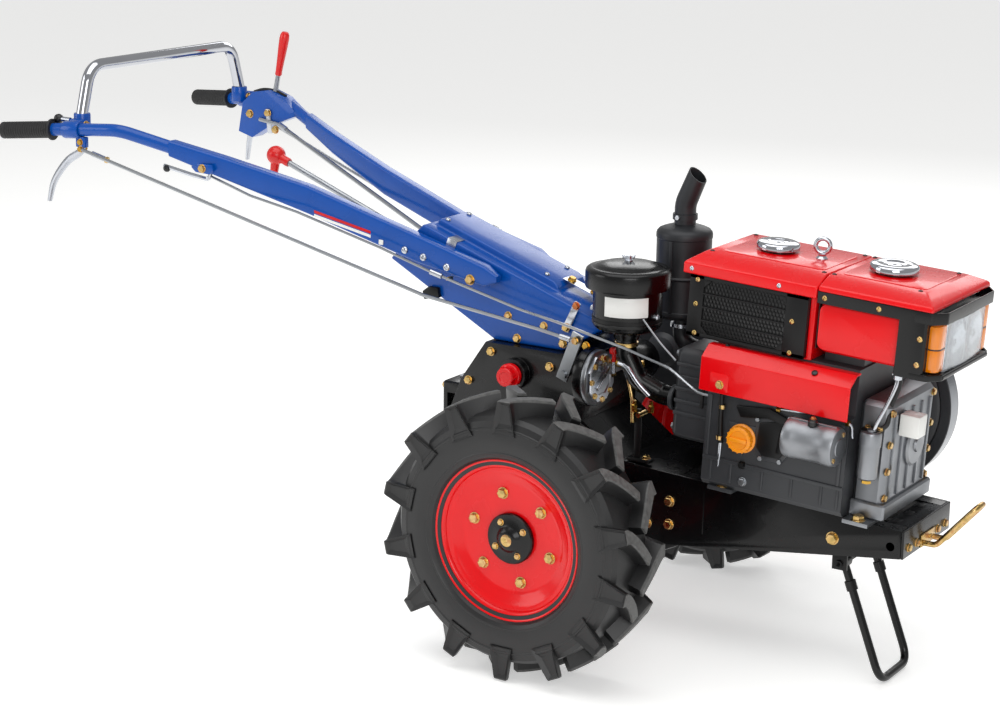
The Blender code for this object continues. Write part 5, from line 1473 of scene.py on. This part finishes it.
def build_flywheel():
    wheel = Shape()
    centre = Vector((CRANK[0], 0, CRANK[1]))
    profile = (
        (0, 0.151), (0.03, 0.151), (0.032, 0.153), (0.034, 0.196), (0.06, 0.2), (0.15, 0.2),
        (0.156, 0.204), (0.16, 0.2005), (0.18, 0.2005), (0.181, 0.202), (0.181, 0.243), (0.1795, 0.245),
        (0.16, 0.245), (0.156, 0.24), (0.15, 0.234), (0.09, 0.234), (0.07, 0.236), (0.064, 0.245),
    )
    wheel.lathe((*profile, (0, 0.245)), centre, (0, 1, 0), "cast", 120)
    rim = ((0.179, 0.2035), (0.18105, 0.2035), (0.18105, 0.2415), (0.179, 0.2415))
    wheel.ring(rim, centre, (0, 1, 0), "turned", 120)
    face = ((0.162, 0.244), (0.178, 0.244), (0.178, 0.24515), (0.162, 0.24515))
    wheel.ring(face, centre, (0, 1, 0), "turned", 120)
    pulley = [(0, 0.2448), (0.06, 0.2448), (0.06, 0.262), (0.0655, 0.262), (0.066, 0.264)]
    for k in range(3):
        y = 0.2665 + 0.0165 * k
        pulley += [(0.0655, y), (0.06, y + 0.0025), (0.06, y + 0.012), (0.0655, y + 0.0145)]
    pulley += [(0.066, 0.3165), (0.065, 0.3178), (0.048, 0.3178), (0.046, 0.308), (0.026, 0.308)]
    pulley += [(0.024, 0.315), (0.018, 0.315), (0.016, 0.312), (0, 0.312)]
    wheel.lathe(pulley, centre, (0, 1, 0), "cast", 72)
    # Six flat black discs on the web: painted shade standing in for its holes.
    for place in around(centre, 0.234, 0.11, 6):
        wheel.lathe(
            ((0.014, 0), (0.014, 0.002), (0.011, 0.0025), (0, 0.0025)), place, (0, 1, 0), "powder", 28,
        )
    for place in around(centre, 0.308, 0.036, 4, 45):
        wheel.bolt(place, (0, 1, 0), 0.0085)
    wheel.make("machined_flywheel", ["flywheel"], "flywheel")


def build_clutch_pulley():
    pulley = Shape()
    centre = Vector((CLUTCH_SHAFT[0], 0, CLUTCH_SHAFT[1]))
    profile = [(0, 0.1658), (0.029, 0.1658), (0.03, 0.167), (0.03, 0.254), (0.04, 0.262)]
    profile += [(0.108, 0.262), (0.11, 0.2635)]
    for k in range(3):
        y = 0.2665 + 0.0165 * k
        profile += [(0.1095, y), (0.1035, y + 0.0025), (0.1035, y + 0.012), (0.1095, y + 0.0145)]
    profile += [(0.11, 0.3165), (0.1085, 0.3178), (0.092, 0.3178), (0.089, 0.306), (0.045, 0.306)]
    profile += [(0.042, 0.315), (0.024, 0.315), (0.022, 0.311), (0, 0.311)]
    pulley.lathe(profile, centre, (0, 1, 0), "cast", 88)
    # Five flat black discs on the web: painted shade standing in for its holes.
    for place in around(centre, 0.3058, 0.067, 5):
        pulley.lathe(
            ((0.015, 0), (0.015, 0.0015), (0.012, 0.002), (0, 0.002)), place, (0, 1, 0), "powder", 24,
        )
    for place in around(centre, 0.3148, 0.033, 3, 36):
        pulley.bolt(place, (0, 1, 0), 0.0065, washer=False)
    pulley.make("grooved_clutch_pulley", ["clutch_pulley"], "clutch_pulley")


def belt_line(extra, steps=26):
    """The belts' outline round both pulleys, grown by a distance."""
    front, back = Vector(CRANK), Vector(CLUTCH_SHAFT)
    first, second = 0.066 + extra, 0.11 + extra
    line = front - back
    lean = math.atan2(line.y, line.x)
    spread = math.acos((second - first) / line.length)
    points = []
    for k in range(steps + 1):
        angle = lean - spread + 2 * spread * k / steps
        points.append(front + first * Vector((math.cos(angle), math.sin(angle))))
    for k in range(steps + 1):
        angle = lean + spread + (math.tau - 2 * spread) * k / steps
        points.append(back + second * Vector((math.cos(angle), math.sin(angle))))
    return points


def build_belts():
    belts = Shape()
    outer = belt_line(0.0102)
    inner = belt_line(0.0012)
    for k in range(3):
        y = 0.2664 + 0.0165 * k
        made = bmesh.new()
        rings = []
        for (xo, zo), (xi, zi) in zip(outer, inner):
            section = ((xo, y + 0.0002, zo), (xo, y + 0.0143, zo), (xi, y + 0.0118, zi), (xi, y + 0.0027, zi))
            rings.append([made.verts.new(p) for p in section])
        skin(made, rings, closed=True)
        belts.take(made, "belt")
    belts.make("three_v_belts", ["drive_belts"])
    rounded_copy("belt_guard", "black", 0.0012)
    trim = Shape()
    rim = [Vector((x, 0.3255, z)) for x, z in belt_line(0.0285)]
    trim.tube(rim, 0.0022, "black", 10, closed=True)
    for x, z in ((0.075, 0.52), (0.235, 0.535)):
        trim.bolt((x, 0.3278, z), (0, 1, 0), 0.0076, washer=False)
    trim.make("belt_guard_rim")


# ---------------------------------------------------------------- handlebars and controls

BAR_BEND = Vector((-1.14, 0.3, 0.992))
GRIP_FRONT = Vector((-1.32, 0.32, 0.98))
GRIP_END = Vector((-1.453, 0.344, 0.969))
RAIL_X = -1.266
LEVER_X = -1.246


def bar_centre(x, sign):
    """A point on the middle line of a handlebar's rear tube."""
    t = (x - BAR_BEND.x) / (GRIP_FRONT.x - BAR_BEND.x)
    point = BAR_BEND.lerp(GRIP_FRONT, t)
    return Vector((point.x, sign * point.y, point.z))


# Along each bar: x, the middle's y and z, and half the width and height of its section.
BAR_STATIONS = (
    (-0.255, 0.1063, 0.731, 0.01, 0.007), (-0.285, 0.1063, 0.735, 0.016, 0.022),
    (-0.457, 0.1063, 0.774, 0.016, 0.03), (-0.724, 0.146, 0.859, 0.016, 0.031),
    (-0.916, 0.208, 0.92, 0.016, 0.024), (-1.027, 0.252, 0.957, 0.0155, 0.018),
)


def bar_face(x):
    """How far out the bar's outer face lies at a station."""
    for near, far in zip(BAR_STATIONS, BAR_STATIONS[1:]):
        if x >= far[0]:
            t = (x - near[0]) / (far[0] - near[0])
            return near[1] + near[3] + t * (far[1] + far[3] - near[1] - near[3])
    return far[1] + far[3]


def build_bar(side, sign):
    """The pressed box section with its round edges, and the tube that goes on to the grip."""
    bar = Shape()
    rings = []
    for x, y, z, wide, high in BAR_STATIONS:
        outline = rounded_outline(wide, high, min(0.0065, 0.6 * min(wide, high)), 5)
        rings.append([Vector((x, sign * y + u, z + v)) for u, v in outline])
    bar.loft(rings, "blue")
    inside = Vector(BAR_STATIONS[-1][:3]).lerp(Vector(BAR_STATIONS[-2][:3]), 0.3)
    rear = GRIP_FRONT + (GRIP_FRONT - GRIP_END).normalized() * 0.03
    path = [inside, Vector(BAR_STATIONS[-1][:3]), BAR_BEND, rear, GRIP_FRONT]
    route = filleted([(p.x, sign * p.y, p.z) for p in path], 0.12, 10)
    bar.tube(route, 0.0145, "blue", 32)
    bar.make(f"pressed_handlebar_{side}", [f"handlebar_{side}"], sharp=40)


def build_handlebars():
    for side, sign in SIDES:
        build_bar(side, sign)
        trim = Shape()
        for x, z in ((-0.4852, 0.7699), (-0.4391, 0.759), (-0.3778, 0.7445)):
            trim.dome((x, sign * bar_face(x), z), (0, sign, 0), 0.0086, 0.0052)
        trim.bolt((-0.3172, sign * bar_face(-0.3172), 0.7248), (0, sign, 0), 0.0105)
        face = bar_face(-0.5411)
        trim.box(
            *box_between((-0.547, sign * face, 0.7765), (-0.5355, sign * (face + 0.0022), 0.7875)),
            "label", 0.0008,
        )
        trim.make(f"handlebar_bolts_{side}")
        add_bar_stripe(side, sign)
        grip = Shape()
        along = GRIP_END - GRIP_FRONT
        centre = Vector((GRIP_FRONT.x, sign * GRIP_FRONT.y, GRIP_FRONT.z))
        profile = [
            (0, 0.0), (0.0235, 0.0), (0.0245, 0.0015), (0.0245, 0.0045), (0.0232, 0.0062),
            (0.0192, 0.007),
        ]
        for rib in range(19):
            foot = 0.0095 + 0.0062 * rib
            profile += [
                (0.0181, foot), (0.0194, foot + 0.001), (0.0194, foot + 0.0032), (0.0181, foot + 0.0042),
            ]
        profile += [(0.019, 0.1285), (0.0195, 0.131), (0.019, 0.1345), (0.016, 0.1368), (0, 0.1375)]
        grip.lathe(profile, centre, (along.x, sign * along.y, along.z), "rubber", 44)
        grip.make(f"ribbed_grip_{side}", [f"grip_{side}"])


def add_bar_stripe(side, sign):
    """Red and white film along the outer face of the bar."""
    stripe = Shape()
    for key, low, high in (("red_plastic", 0.0012, 0.0075), ("label", -0.0075, -0.0012)):
        rings = []
        for x, z in ((-0.705, 0.831), (-0.5668, 0.797)):
            face = bar_face(x)
            corners = (
                (face - 0.001, z + low), (face - 0.001, z + high), (face + 0.0005, z + high),
                (face + 0.0005, z + low),
            )
            rings.append([Vector((x, sign * y, height)) for y, height in corners])
        stripe.loft(rings, key, smooth=False)
    stripe.make(f"handlebar_stripe_{side}")


def build_handrail():
    rail = Shape()
    foot_y = 0.2828
    path = [(RAIL_X, -foot_y, 0.9805), (RAIL_X, -foot_y, 1.0146), (RAIL_X, -0.252, 1.1212)]
    path += [(x, -y, z) for x, y, z in reversed(path)]
    rail.tube(filleted(path, 0.055, 14), 0.0139, "chrome", 32)
    rail.make("chromed_handrail", ["handrail"])
    for side, sign in SIDES:
        clamp = Shape()
        centre = bar_centre(RAIL_X, sign)
        along = GRIP_FRONT - BAR_BEND
        along = Vector((along.x, sign * along.y, along.z)).normalized()
        collar = (
            (0.0146, -0.022), (0.0188, -0.022), (0.0198, -0.02), (0.0198, 0.02), (0.0188, 0.022),
            (0.0146, 0.022),
        )
        clamp.ring(collar, centre, along, "blue", 36)
        sleeve = (
            (0.014, 0.982), (0.0182, 0.982), (0.019, 0.984), (0.019, 1.016), (0.018, 1.018),
            (0.014, 1.018),
        )
        clamp.ring(sleeve, (RAIL_X, sign * foot_y, 0), (0, 0, 1), "blue", 36)
        clamp.box(
            *box_between((RAIL_X - 0.02, sign * 0.287, 0.974), (RAIL_X + 0.02, sign * 0.308, 1.006)),
            "blue", 0.004,
        )
        clamp.bolt((RAIL_X + 0.0195, sign * 0.293, 0.993), (1, 0, 0), 0.009)
        if sign < 0:
            knob = Vector((RAIL_X - 0.02, sign * 0.3, 1.002))
            stem = knob + Vector((-0.024, 0, 0.0))
            clamp.tube([knob, stem], 0.006, "bright", 16)
            ball = [(0, 0.0)] + [
                (0.0115 * math.sin(t), 0.0115 - 0.0115 * math.cos(t)) for t in (0.5, 1.0, 1.57, 2.1, 2.6)
            ]
            clamp.lathe([*ball, (0, 0.0228)], stem, (-1, 0, 0), "plastic", 28)
        clamp.make(f"handrail_clamp_{side}")


def build_steering():
    for side, sign in SIDES:
        lever = Shape()
        base = bar_centre(LEVER_X, sign) - Vector((0, 0, 0.0148))
        offsets = (
            (0.004, 0.0, -0.002), (0.004, 0.0, -0.03), (-0.022, 0.022, -0.056), (-0.046, 0.04, -0.1),
            (-0.0575, 0.046, -0.1465),
        )
        path = smooth_route([base + Vector((x, sign * y, z)) for x, y, z in offsets], 8)
        blade = [(math.cos(math.tau * k / 18) * 0.95, math.sin(math.tau * k / 18) * 0.52) for k in range(18)]
        widths = [0.0072 + 0.0042 * math.sin(math.pi * k / (len(path) - 1)) for k in range(len(path))]
        lever.tube(path, widths, "bright", section=blade, up=(1, 0, 0))
        for t in (0.0, 1.0):
            lever.bolt(
                base + Vector((0.004, -sign * 0.006, -0.012 - 0.016 * t)), (0, -sign, 0), 0.007, "brass",
            )
            lever.bolt(base + Vector((0.004, sign * 0.006, -0.012 - 0.016 * t)), (0, sign, 0), 0.007, "brass")
        lever.box(base + Vector((-0.01, -0.0065, -0.024)), base + Vector((0.018, 0.0065, 0.0)), "blue", 0.002)
        lever.make(f"steering_hand_lever_{side}", [f"steering_lever_{side}"])
        refinish(f"steering_rod_{side}", "steel")
        fittings = Shape()
        back = 0.004 if sign < 0 else 0.075
        start = base + Vector((0.014, sign * 0.004, -0.03))
        knee = Vector((-0.4, sign * 0.178, 0.69))
        along = (knee - start).normalized()
        fittings.ring(
            ((0.004, 0), (0.0062, 0.001), (0.0062, 0.034), (0.004, 0.035)), start + along * 0.02, along,
            "bright", 20,
        )
        fittings.lathe(
            ((0, 0), (0.0075, 0), (0.0075, 0.006), (0, 0.006)), start + along * 0.058, along, "zinc", 6,
            smooth=False,
        )
        end = Vector((-0.028 - back, sign * 0.155, 0.636))
        run = (end - Vector((-0.12 - back, sign * 0.155, 0.65))).normalized()
        fittings.ring(
            ((0.004, 0), (0.006, 0.001), (0.006, 0.026), (0.004, 0.027)), end - run * 0.04, run,
            "bright", 20,
        )
        fittings.bolt(end + Vector((0, sign * 0.004, 0.002)), (0, sign, 0), 0.0075)
        fittings.make(f"steering_rod_ends_{side}")


def build_console():
    rounded_copy("control_console", "blue", 0.005, 4)
    trim = Shape()
    rear = Vector((-0.462, 0.824))
    front = Vector((-0.034, 0.674))
    along = (front - rear).normalized()
    normal = Vector((-along.y, along.x))
    # A steel band over the rear of the sloping top, bolted down each side.
    for sign in (-1, 1):
        outline = [rear + along * 0.07 - normal * 0.05, rear + along * 0.094 - normal * 0.05]
        outline += [rear + along * 0.094 + normal * 0.001, rear + along * 0.07 + normal * 0.001]
        trim.prism(
            [(p.x, p.y) for p in outline], "Y", *sorted((sign * 0.0897, sign * 0.0912)), "bright",
            0.0005,
        )
        middle = rear + along * 0.082 - normal * 0.036
        trim.bolt((middle.x, sign * 0.091, middle.y), (0, sign, 0), 0.006, "bright", washer=False)
        for x, z in ((-0.102, 0.6083), (-0.2166, 0.6037)):
            trim.bolt((x, sign * 0.0898, z), (0, sign, 0), 0.009)
        for x, z in ((-0.24, 0.65), (-0.15, 0.64)):
            trim.bolt((x, sign * 0.0898, z), (0, sign, 0), 0.0085)
        clevis = [(-0.452, 0.66), (-0.412, 0.668), (-0.416, 0.69), (-0.44, 0.69), (-0.456, 0.678)]
        trim.prism(clevis, "Y", *sorted((sign * 0.0897, sign * 0.101)), "powder", 0.002)
    top = [(rear + along * 0.07 + normal * 0.0004), (rear + along * 0.094 + normal * 0.0004)]
    top += [(rear + along * 0.094 + normal * 0.002), (rear + along * 0.07 + normal * 0.002)]
    trim.prism([(p.x, p.y) for p in top], "Y", -0.091, 0.091, "bright", 0.0004)
    # The lid's screws.
    for distance in (0.03, 0.3):
        for y in (-0.042, 0.042):
            place = rear + along * distance + normal * 0.0178
            trim.dome((place.x, y, place.y), (normal.x, 0, normal.y), 0.0058, 0.0034)
    # The bent steel strap that joins the lid's front end to the air filter's foot.
    strap = [
        rear + along * 0.33 + normal * 0.019, front + normal * 0.0185,
        front + along * 0.012 + normal * 0.008,
    ]
    strap += [front + along * 0.016 - normal * 0.026]
    rings = []
    for point, out in zip(strap, (normal, normal, (normal + along).normalized(), along)):
        low = point - out * 0.0015
        rings.append(
            [
                (point.x, -0.025, point.y), (point.x, 0.005, point.y), (low.x, 0.005, low.y),
                (low.x, -0.025, low.y),
            ]
        )
    trim.loft(rings, "bright", smooth=False)
    for distance in (0.345, 0.405):
        place = rear + along * distance + normal * 0.019
        trim.bolt((place.x, -0.01, place.y), (normal.x, 0, normal.y), 0.009, "brass")
    trim.make("console_bands_and_bolts")


def build_clutch_control():
    rounded_copy("clutch_quadrant", "blue", 0.0035, 4)
    refinish("clutch_rod", "steel")
    lever = Shape()
    foot, tip = Vector((-1.15, 0.279, 1.0166)), Vector((-1.118, 0.279, 1.1625))
    along = (tip - foot).normalized()
    length = (tip - foot).length
    lever.lathe(
        ((0, 0), (0.0068, 0), (0.0062, 0.004), (0.0055, length * 0.42), (0, length * 0.42)), foot, along,
        "steel", 24,
    )
    handle = ((0, 0.04), (0.007, 0.04), (0.0085, 0.043), (0.008, 0.05), (0.0092, 0.075), (0.0115, 0.115))
    handle += ((0.012, 0.132), (0.011, 0.142), (0.0075, length - 0.001), (0, length))
    lever.lathe(handle, foot, along, "red_plastic", 36)
    lever.make("clutch_hand_lever", ["clutch_lever"])
    trim = Shape()
    # The curved slot over the top of the quadrant, its link plate and the rod's end.
    arc = [(-1.118, 1.005), (-1.15, 1.015), (-1.185, 1.0165), (-1.215, 1.0085)]
    slot = smooth_route([Vector((x, 0.279, z + 0.001)) for x, z in arc], 8)
    trim.tube(slot, 0.0042, "powder", 10)
    link = [(-1.164, 0.974), (-1.15, 0.975), (-1.143, 0.916), (-1.157, 0.915)]
    trim.prism(link, "Y", 0.2535, 0.258, "bright", 0.0015)
    for x, z in ((-1.156, 0.965), (-1.1333, 0.926)):
        trim.bolt((x, 0.255, z), (0, -1, 0), 0.009)
    trim.bolt((-1.214, 0.2585, 0.958), (0, -1, 0), 0.0095)
    trim.ring(
        ((0.005, 0), (0.007, 0.001), (0.007, 0.03), (0.005, 0.031)), (-1.118, 0.252, 0.9395),
        (0.954, -0.348, -0.27), "bright", 20,
    )
    for x, z in ((-1.105, 0.975), (-1.225, 0.94)):
        trim.bolt((x, 0.2998, z), (0, 1, 0), 0.009)
    trim.make("quadrant_link_and_bolts")


def build_gear_lever():
    lever = Shape()
    foot, knob = Vector((-0.5274, 0.0, 0.7622)), Vector((-0.933, 0.0, 0.917))
    along = (knob - foot).normalized()
    lever.tube([foot + along * 0.001, knob - along * 0.016], 0.0068, "steel", 20)
    boot = ((0, 0.002), (0.0125, 0.002), (0.013, 0.006), (0.011, 0.01), (0.012, 0.014), (0.0095, 0.018))
    lever.lathe((*boot, (0.01, 0.022), (0.0072, 0.028), (0, 0.028)), foot, along, "rubber", 28)
    turns = 14
    ball = [
        (0.022 * math.sin(math.pi * k / turns), -0.022 * math.cos(math.pi * k / turns)) for k in range(
            1, turns,
        )
    ]
    neck = [(0, -0.04), (0.0095, -0.04), (0.0105, -0.036), (0.01, -0.024), (0.012, -0.0184)]
    handle = ((0, 0.0), (0.011, 0.0), (0.01, 0.03), (0.0085, 0.052), (0.006, 0.0565), (0, 0.0575))
    lever.lathe(handle, knob, (-0.16, 0, -1), "red_plastic", 28)
    lever.lathe([*neck, *ball[2:], (0, 0.022)], knob, along, "red_plastic", 44)
    lever.make("gear_lever_and_knob", ["gear_lever"])


def build_throttle():
    refinish("throttle_lever", "bright")
    refinish("throttle_cable", "steel")
    low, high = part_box("throttle_lever")
    seat = Vector((-0.945, -0.2195, high.z + 0.0006))
    trim = Shape()
    bracket = [(-0.034, 0.01), (0.02, 0.01), (0.024, -0.002), (0.014, -0.012), (-0.026, -0.01), (-0.038, 0.0)]
    trim.prism(
        [(seat.x + u, seat.z + v) for u, v in bracket], "Y", seat.y - 0.024, seat.y - 0.018, "blue",
        0.0018,
    )
    trim.bolt((seat.x - 0.006, seat.y - 0.0238, seat.z), (0, -1, 0), 0.009)
    tip = Vector((low.x - AXLE_X + 0.004, low.y + 0.0045, high.z - 0.012))
    ball = [(0.0085 * math.sin(t), -0.0085 * math.cos(t)) for t in (0.5, 1.0, 1.57, 2.1, 2.6)]
    trim.lathe(
        [(0, -0.0085), *ball, (0, 0.0085)], tip + Vector((0.0055, 0, 0.002)), (-1, 0, 0.2), "plastic",
        28,
    )
    # The cable's sleeve clamp under the bar, tied to the eye bolt.
    start, end = Vector((-0.407, -0.142, 0.735)), Vector((-0.342, -0.138, 0.718))
    along = (end - start).normalized()
    trim.ring(((0.0032, 0), (0.006, 0.001), (0.006, 0.03), (0.0032, 0.031)), start, along, "bright", 20)
    trim.box((-0.368, -0.14, 0.72), (-0.36, -0.122, 0.727), "zinc", 0.001)
    trim.make("throttle_bracket_and_knob")


def build_linkage():
    """The gear-change linkage and fittings in the space between console, gearbox and engine."""
    bay = Shape()
    plate = [(-0.072, 0.706), (-0.058, 0.7), (-0.086, 0.634), (-0.104, 0.64)]
    bay.prism(plate, "Y", -0.096, -0.092, "bright", 0.0012)
    bay.bolt((-0.068, -0.096, 0.696), (0, -1, 0), 0.008, "copper")
    bay.bolt((-0.092, -0.096, 0.646), (0, -1, 0), 0.0085)
    bay.bolt((-0.044, -0.0915, 0.612), (0, -1, 0), 0.0085, "brass")
    base = 0.5915
    for x in (-0.052, -0.29):
        for y in (-0.06, 0.06):
            bay.bolt((x, y, base), (0, 0, 1), 0.009)
    # Selector shafts stand in front of the case, with their brass ferrules and grey block.
    bay.box((-0.034, -0.072, 0.552), (0.006, -0.018, 0.588), "aluminium", 0.004)
    for k, (y, z) in enumerate(((-0.06, 0.578), (-0.044, 0.57), (-0.028, 0.578))):
        reach = 0.028 + 0.01 * k
        bay.tube([(0.004, y, z), (0.004 + reach, y, z - 0.004)], 0.0058, "brass", 18)
        tip = (0.004 + reach, y, z - 0.004)
        bay.lathe(
            ((0.0078, 0), (0.0078, 0.006), (0.006, 0.008), (0, 0.008)), tip, (1, 0, -0.1), "brass", 6,
            smooth=False,
        )
    knob = (0.018, -0.082, 0.601)
    bay.lathe(
        ((0.0045, -0.016), (0.0045, 0), (0.0095, 0.002), (0.0105, 0.008), (0.0085, 0.013), (0, 0.0145)),
        knob, (0, 0, 1), "red_plastic", 28,
    )
    bay.tube([(0.018, -0.082, 0.56), (0.018, -0.082, 0.59)], 0.004, "bright", 12)
    gold = smooth_route(
        [(0.06, -0.104, 0.598), (0.066, -0.104, 0.56), (0.078, -0.108, 0.52), (0.082, -0.11, 0.47)], 8,
    )
    bay.tube(gold, 0.0042, "zinc", 14)
    silver = [(0.052, -0.12, 0.596), (0.074, -0.124, 0.59), (0.1, -0.124, 0.56), (0.124, -0.118, 0.536)]
    bay.tube(smooth_route(silver, 8), 0.0056, "bright", 16)
    for x, y, z in ((0.086, -0.112, 0.505), (0.128, -0.116, 0.51)):
        bay.lathe(
            ((0, -0.01), (0.007, -0.01), (0.007, 0.004), (0.0045, 0.006), (0.0045, 0.014), (0, 0.014)),
            (x, y, z), (0, 0, 1), "brass", 6,
        )
    bay.tube([(0.1, -0.12, 0.49), (0.1, -0.09, 0.49)], 0.006, "zinc", 16)
    bay.box((0.07, -0.112, 0.386), (0.125, -0.09, 0.394), "powder", 0.002)
    bay.box((0.085, -0.108, 0.39), (0.1, -0.101, 0.5), "powder", 0.002)
    bay.bolt((0.112, -0.101, 0.3935), (0, 0, 1), 0.009)
    rod = [(0.125, -0.155, 0.705), (0.168, -0.16, 0.664), (0.205, -0.16, 0.632)]
    bay.tube(smooth_route(rod, 6), 0.002, "steel", 10)
    bay.make("selector_linkage")


# ---------------------------------------------------------------- studio


def make_floor():
    # Matt painted floor: pale and even, with no visible grain.
    # A faint glow of its own keeps it near white to the edge of the view.
    finish = surface(
        "studio_floor_painted", colours().floor, "#F1F1EF", rough=(0.55, 0.6), grain_mm=40.0,
        Emission_Color=linear("#FFFFFF"), Emission_Strength=0.42,
    )
    made = bmesh.new()
    bmesh.ops.create_grid(made, x_segments=8, y_segments=8, size=150.0)
    mesh = bpy.data.meshes.new("studio_floor")
    made.to_mesh(mesh)
    made.free()
    mesh.materials.append(finish)
    floor = bpy.data.objects.new("studio_floor", mesh)
    floor.location = (0, 0, -0.0005)
    bpy.context.scene.collection.objects.link(floor)


def make_light(name, place, aim, width, height, power):
    data = bpy.data.lights.new(name, "AREA")
    data.shape = "RECTANGLE"
    data.size = width
    data.size_y = height
    data.energy = power
    lamp = bpy.data.objects.new(name, data)
    lamp.location = place
    lamp.rotation_euler = (Vector(aim) - Vector(place)).to_track_quat("-Z", "Y").to_euler()
    bpy.context.scene.collection.objects.link(lamp)


def make_lights():
    aim = (AXLE_X - 0.2, 0, 0.5)
    make_light("softbox_above", (0.3, -0.8, 4.6), aim, 5.0, 4.0, 125)
    make_light("softbox_front", (3.6, -4.6, 2.6), aim, 3.0, 2.4, 90)
    make_light("softbox_side", (-4.2, -3.4, 2.4), aim, 2.6, 2.6, 50)
    make_light("softbox_back", (-1.0, 4.8, 3.2), aim, 4.0, 2.0, 60)


def make_world():
    world = bpy.data.worlds.new("studio_world")
    world.use_nodes = True
    world.node_tree.nodes.clear()
    white = add_node(
        world.node_tree, "ShaderNodeBackground", {"Color": linear("#FFFFFF"), "Strength": 0.42}
    )
    add_node(world.node_tree, "ShaderNodeOutputWorld", {"Surface": white})
    bpy.context.scene.world = world
    bpy.context.scene.view_settings.view_transform = "Standard"


def make_camera():
    data = bpy.data.cameras.new("studio_camera")
    data.lens = 83.0
    data.sensor_width = 36.0
    data.shift_y = 0.0083
    data.clip_end = 400.0
    camera = bpy.data.objects.new("studio_camera", data)
    yaw, pitch, roll = math.radians(32.317), math.radians(14.605), math.radians(0.725)
    turn = Matrix.Rotation(yaw, 4, "Z") @ Matrix.Rotation(math.pi / 2 - pitch, 4, "X")
    camera.matrix_world = (
        Matrix.Translation((AXLE_X + 2.318, -4.164, 1.789)) @ turn @ Matrix.Rotation(roll, 4, "Z")
    )
    bpy.context.scene.collection.objects.link(camera)
    bpy.context.scene.camera = camera


# ---------------------------------------------------------------- operators


class BuildStep(bpy.types.Operator):
    """One step of dressing the tractor."""

    bl_idname = "tractor.build_step"
    bl_label = "Build step"
    bl_options = {"REGISTER", "UNDO"}
    steps = ()

    def execute(self, context):
        for step in self.steps:
            step()
        return {"FINISHED"}


def both_sides(build):
    """A step that builds a piece on each side."""

    def run():
        for side, sign in SIDES:
            build(side, sign)

    return run


class BuildStudio(BuildStep):
    """Floor, light and camera."""

    bl_idname = "tractor.build_studio"
    bl_label = "Studio"
    steps = (make_lights, make_world, make_floor, make_camera)


class BuildTyres(BuildStep):
    """Treaded tyres on both wheels."""

    bl_idname = "tractor.build_tyres"
    bl_label = "Tyres"
    steps = (both_sides(build_tyre),)


class BuildWheelCentres(BuildStep):
    """Pressed rims, hubs and their bolts."""

    bl_idname = "tractor.build_wheel_centres"
    bl_label = "Rims and hubs"
    steps = (both_sides(build_wheel_centre),)


class BuildGearbox(BuildStep):
    """Gearbox, axle housings, transfer cover and hitch."""

    bl_idname = "tractor.build_gearbox"
    bl_label = "Gearbox and axle"
    steps = (both_sides(build_axle_housing), build_gearbox)


class BuildFrame(BuildStep):
    """Rails, nose, hook and stand."""

    bl_idname = "tractor.build_frame"
    bl_label = "Frame and stand"
    steps = (build_rails, build_stand)


class BuildEngine(BuildStep):
    """Crankcase, cylinder head, front casing and their fittings."""

    bl_idname = "tractor.build_engine"
    bl_label = "Engine"
    steps = (build_crankcase, build_starter_and_filters, build_engine_pipes, build_side_guard)


class BuildHood(BuildStep):
    """Radiator hood, grilles, fuel tank and lifting eye."""

    bl_idname = "tractor.build_hood"
    bl_label = "Hood and tank"
    steps = (build_caps, build_hood, both_sides(build_grille), build_tank, build_lifting_eye)


class BuildFront(BuildStep):
    """Front guard, headlamp and turn lights."""

    bl_idname = "tractor.build_front"
    bl_label = "Guard and lamps"
    steps = (build_front_guard, build_lamps)


class BuildAir(BuildStep):
    """Air filter, its elbow and the muffler."""

    bl_idname = "tractor.build_air"
    bl_label = "Air filter and muffler"
    steps = (build_air_filter, build_muffler)


class BuildDrive(BuildStep):
    """Flywheel, clutch pulley, belts and their guard."""

    bl_idname = "tractor.build_drive"
    bl_label = "Belt drive"
    steps = (build_flywheel, build_clutch_pulley, build_belts)


class BuildHandlebars(BuildStep):
    """Handlebars, grips, handrail and steering levers."""

    bl_idname = "tractor.build_handlebars"
    bl_label = "Handlebars"
    steps = (build_handlebars, build_handrail, build_steering)


class BuildControls(BuildStep):
    """Console, clutch quadrant, gear lever, throttle and linkage."""

    bl_idname = "tractor.build_controls"
    bl_label = "Controls"
    steps = (build_console, build_clutch_control, build_gear_lever, build_throttle, build_linkage)


BUILDERS = (
    BuildStudio, BuildTyres, BuildWheelCentres, BuildGearbox, BuildFrame, BuildEngine, BuildHood,
    BuildFront, BuildAir, BuildDrive, BuildHandlebars, BuildControls,
)


class TractorPanel(bpy.types.Panel):
    """The settings and the build steps, in the sidebar."""

    bl_idname = "VIEW3D_PT_tractor"
    bl_label = "Walking tractor"
    bl_space_type = "VIEW_3D"
    bl_region_type = "UI"
    bl_category = "Tractor"

    def draw(self, context):
        for group in (context.scene.tractor_colours, context.scene.tractor_sizes):
            box = self.layout.box()
            for name in group.bl_rna.properties.keys():
                if name not in ("rna_type", "name"):
                    box.prop(group, name)
        for builder in BUILDERS:
            self.layout.operator(builder.bl_idname)


CLASSES = (*SETTING_GROUPS, *BUILDERS, TractorPanel)


def register():
    for cls in CLASSES:
        bpy.utils.register_class(cls)
    bpy.types.Scene.tractor_colours = bpy.props.PointerProperty(type=TractorColours)
    bpy.types.Scene.tractor_sizes = bpy.props.PointerProperty(type=TractorSizes)


def unregister():
    del bpy.types.Scene.tractor_sizes
    del bpy.types.Scene.tractor_colours
    for cls in reversed(CLASSES):
        bpy.utils.unregister_class(cls)


def main():
    register()
    for builder in BUILDERS:
        group, step = builder.bl_idname.split(".")
        getattr(getattr(bpy.ops, group), step)()


if __name__ == "__main__":
    main()
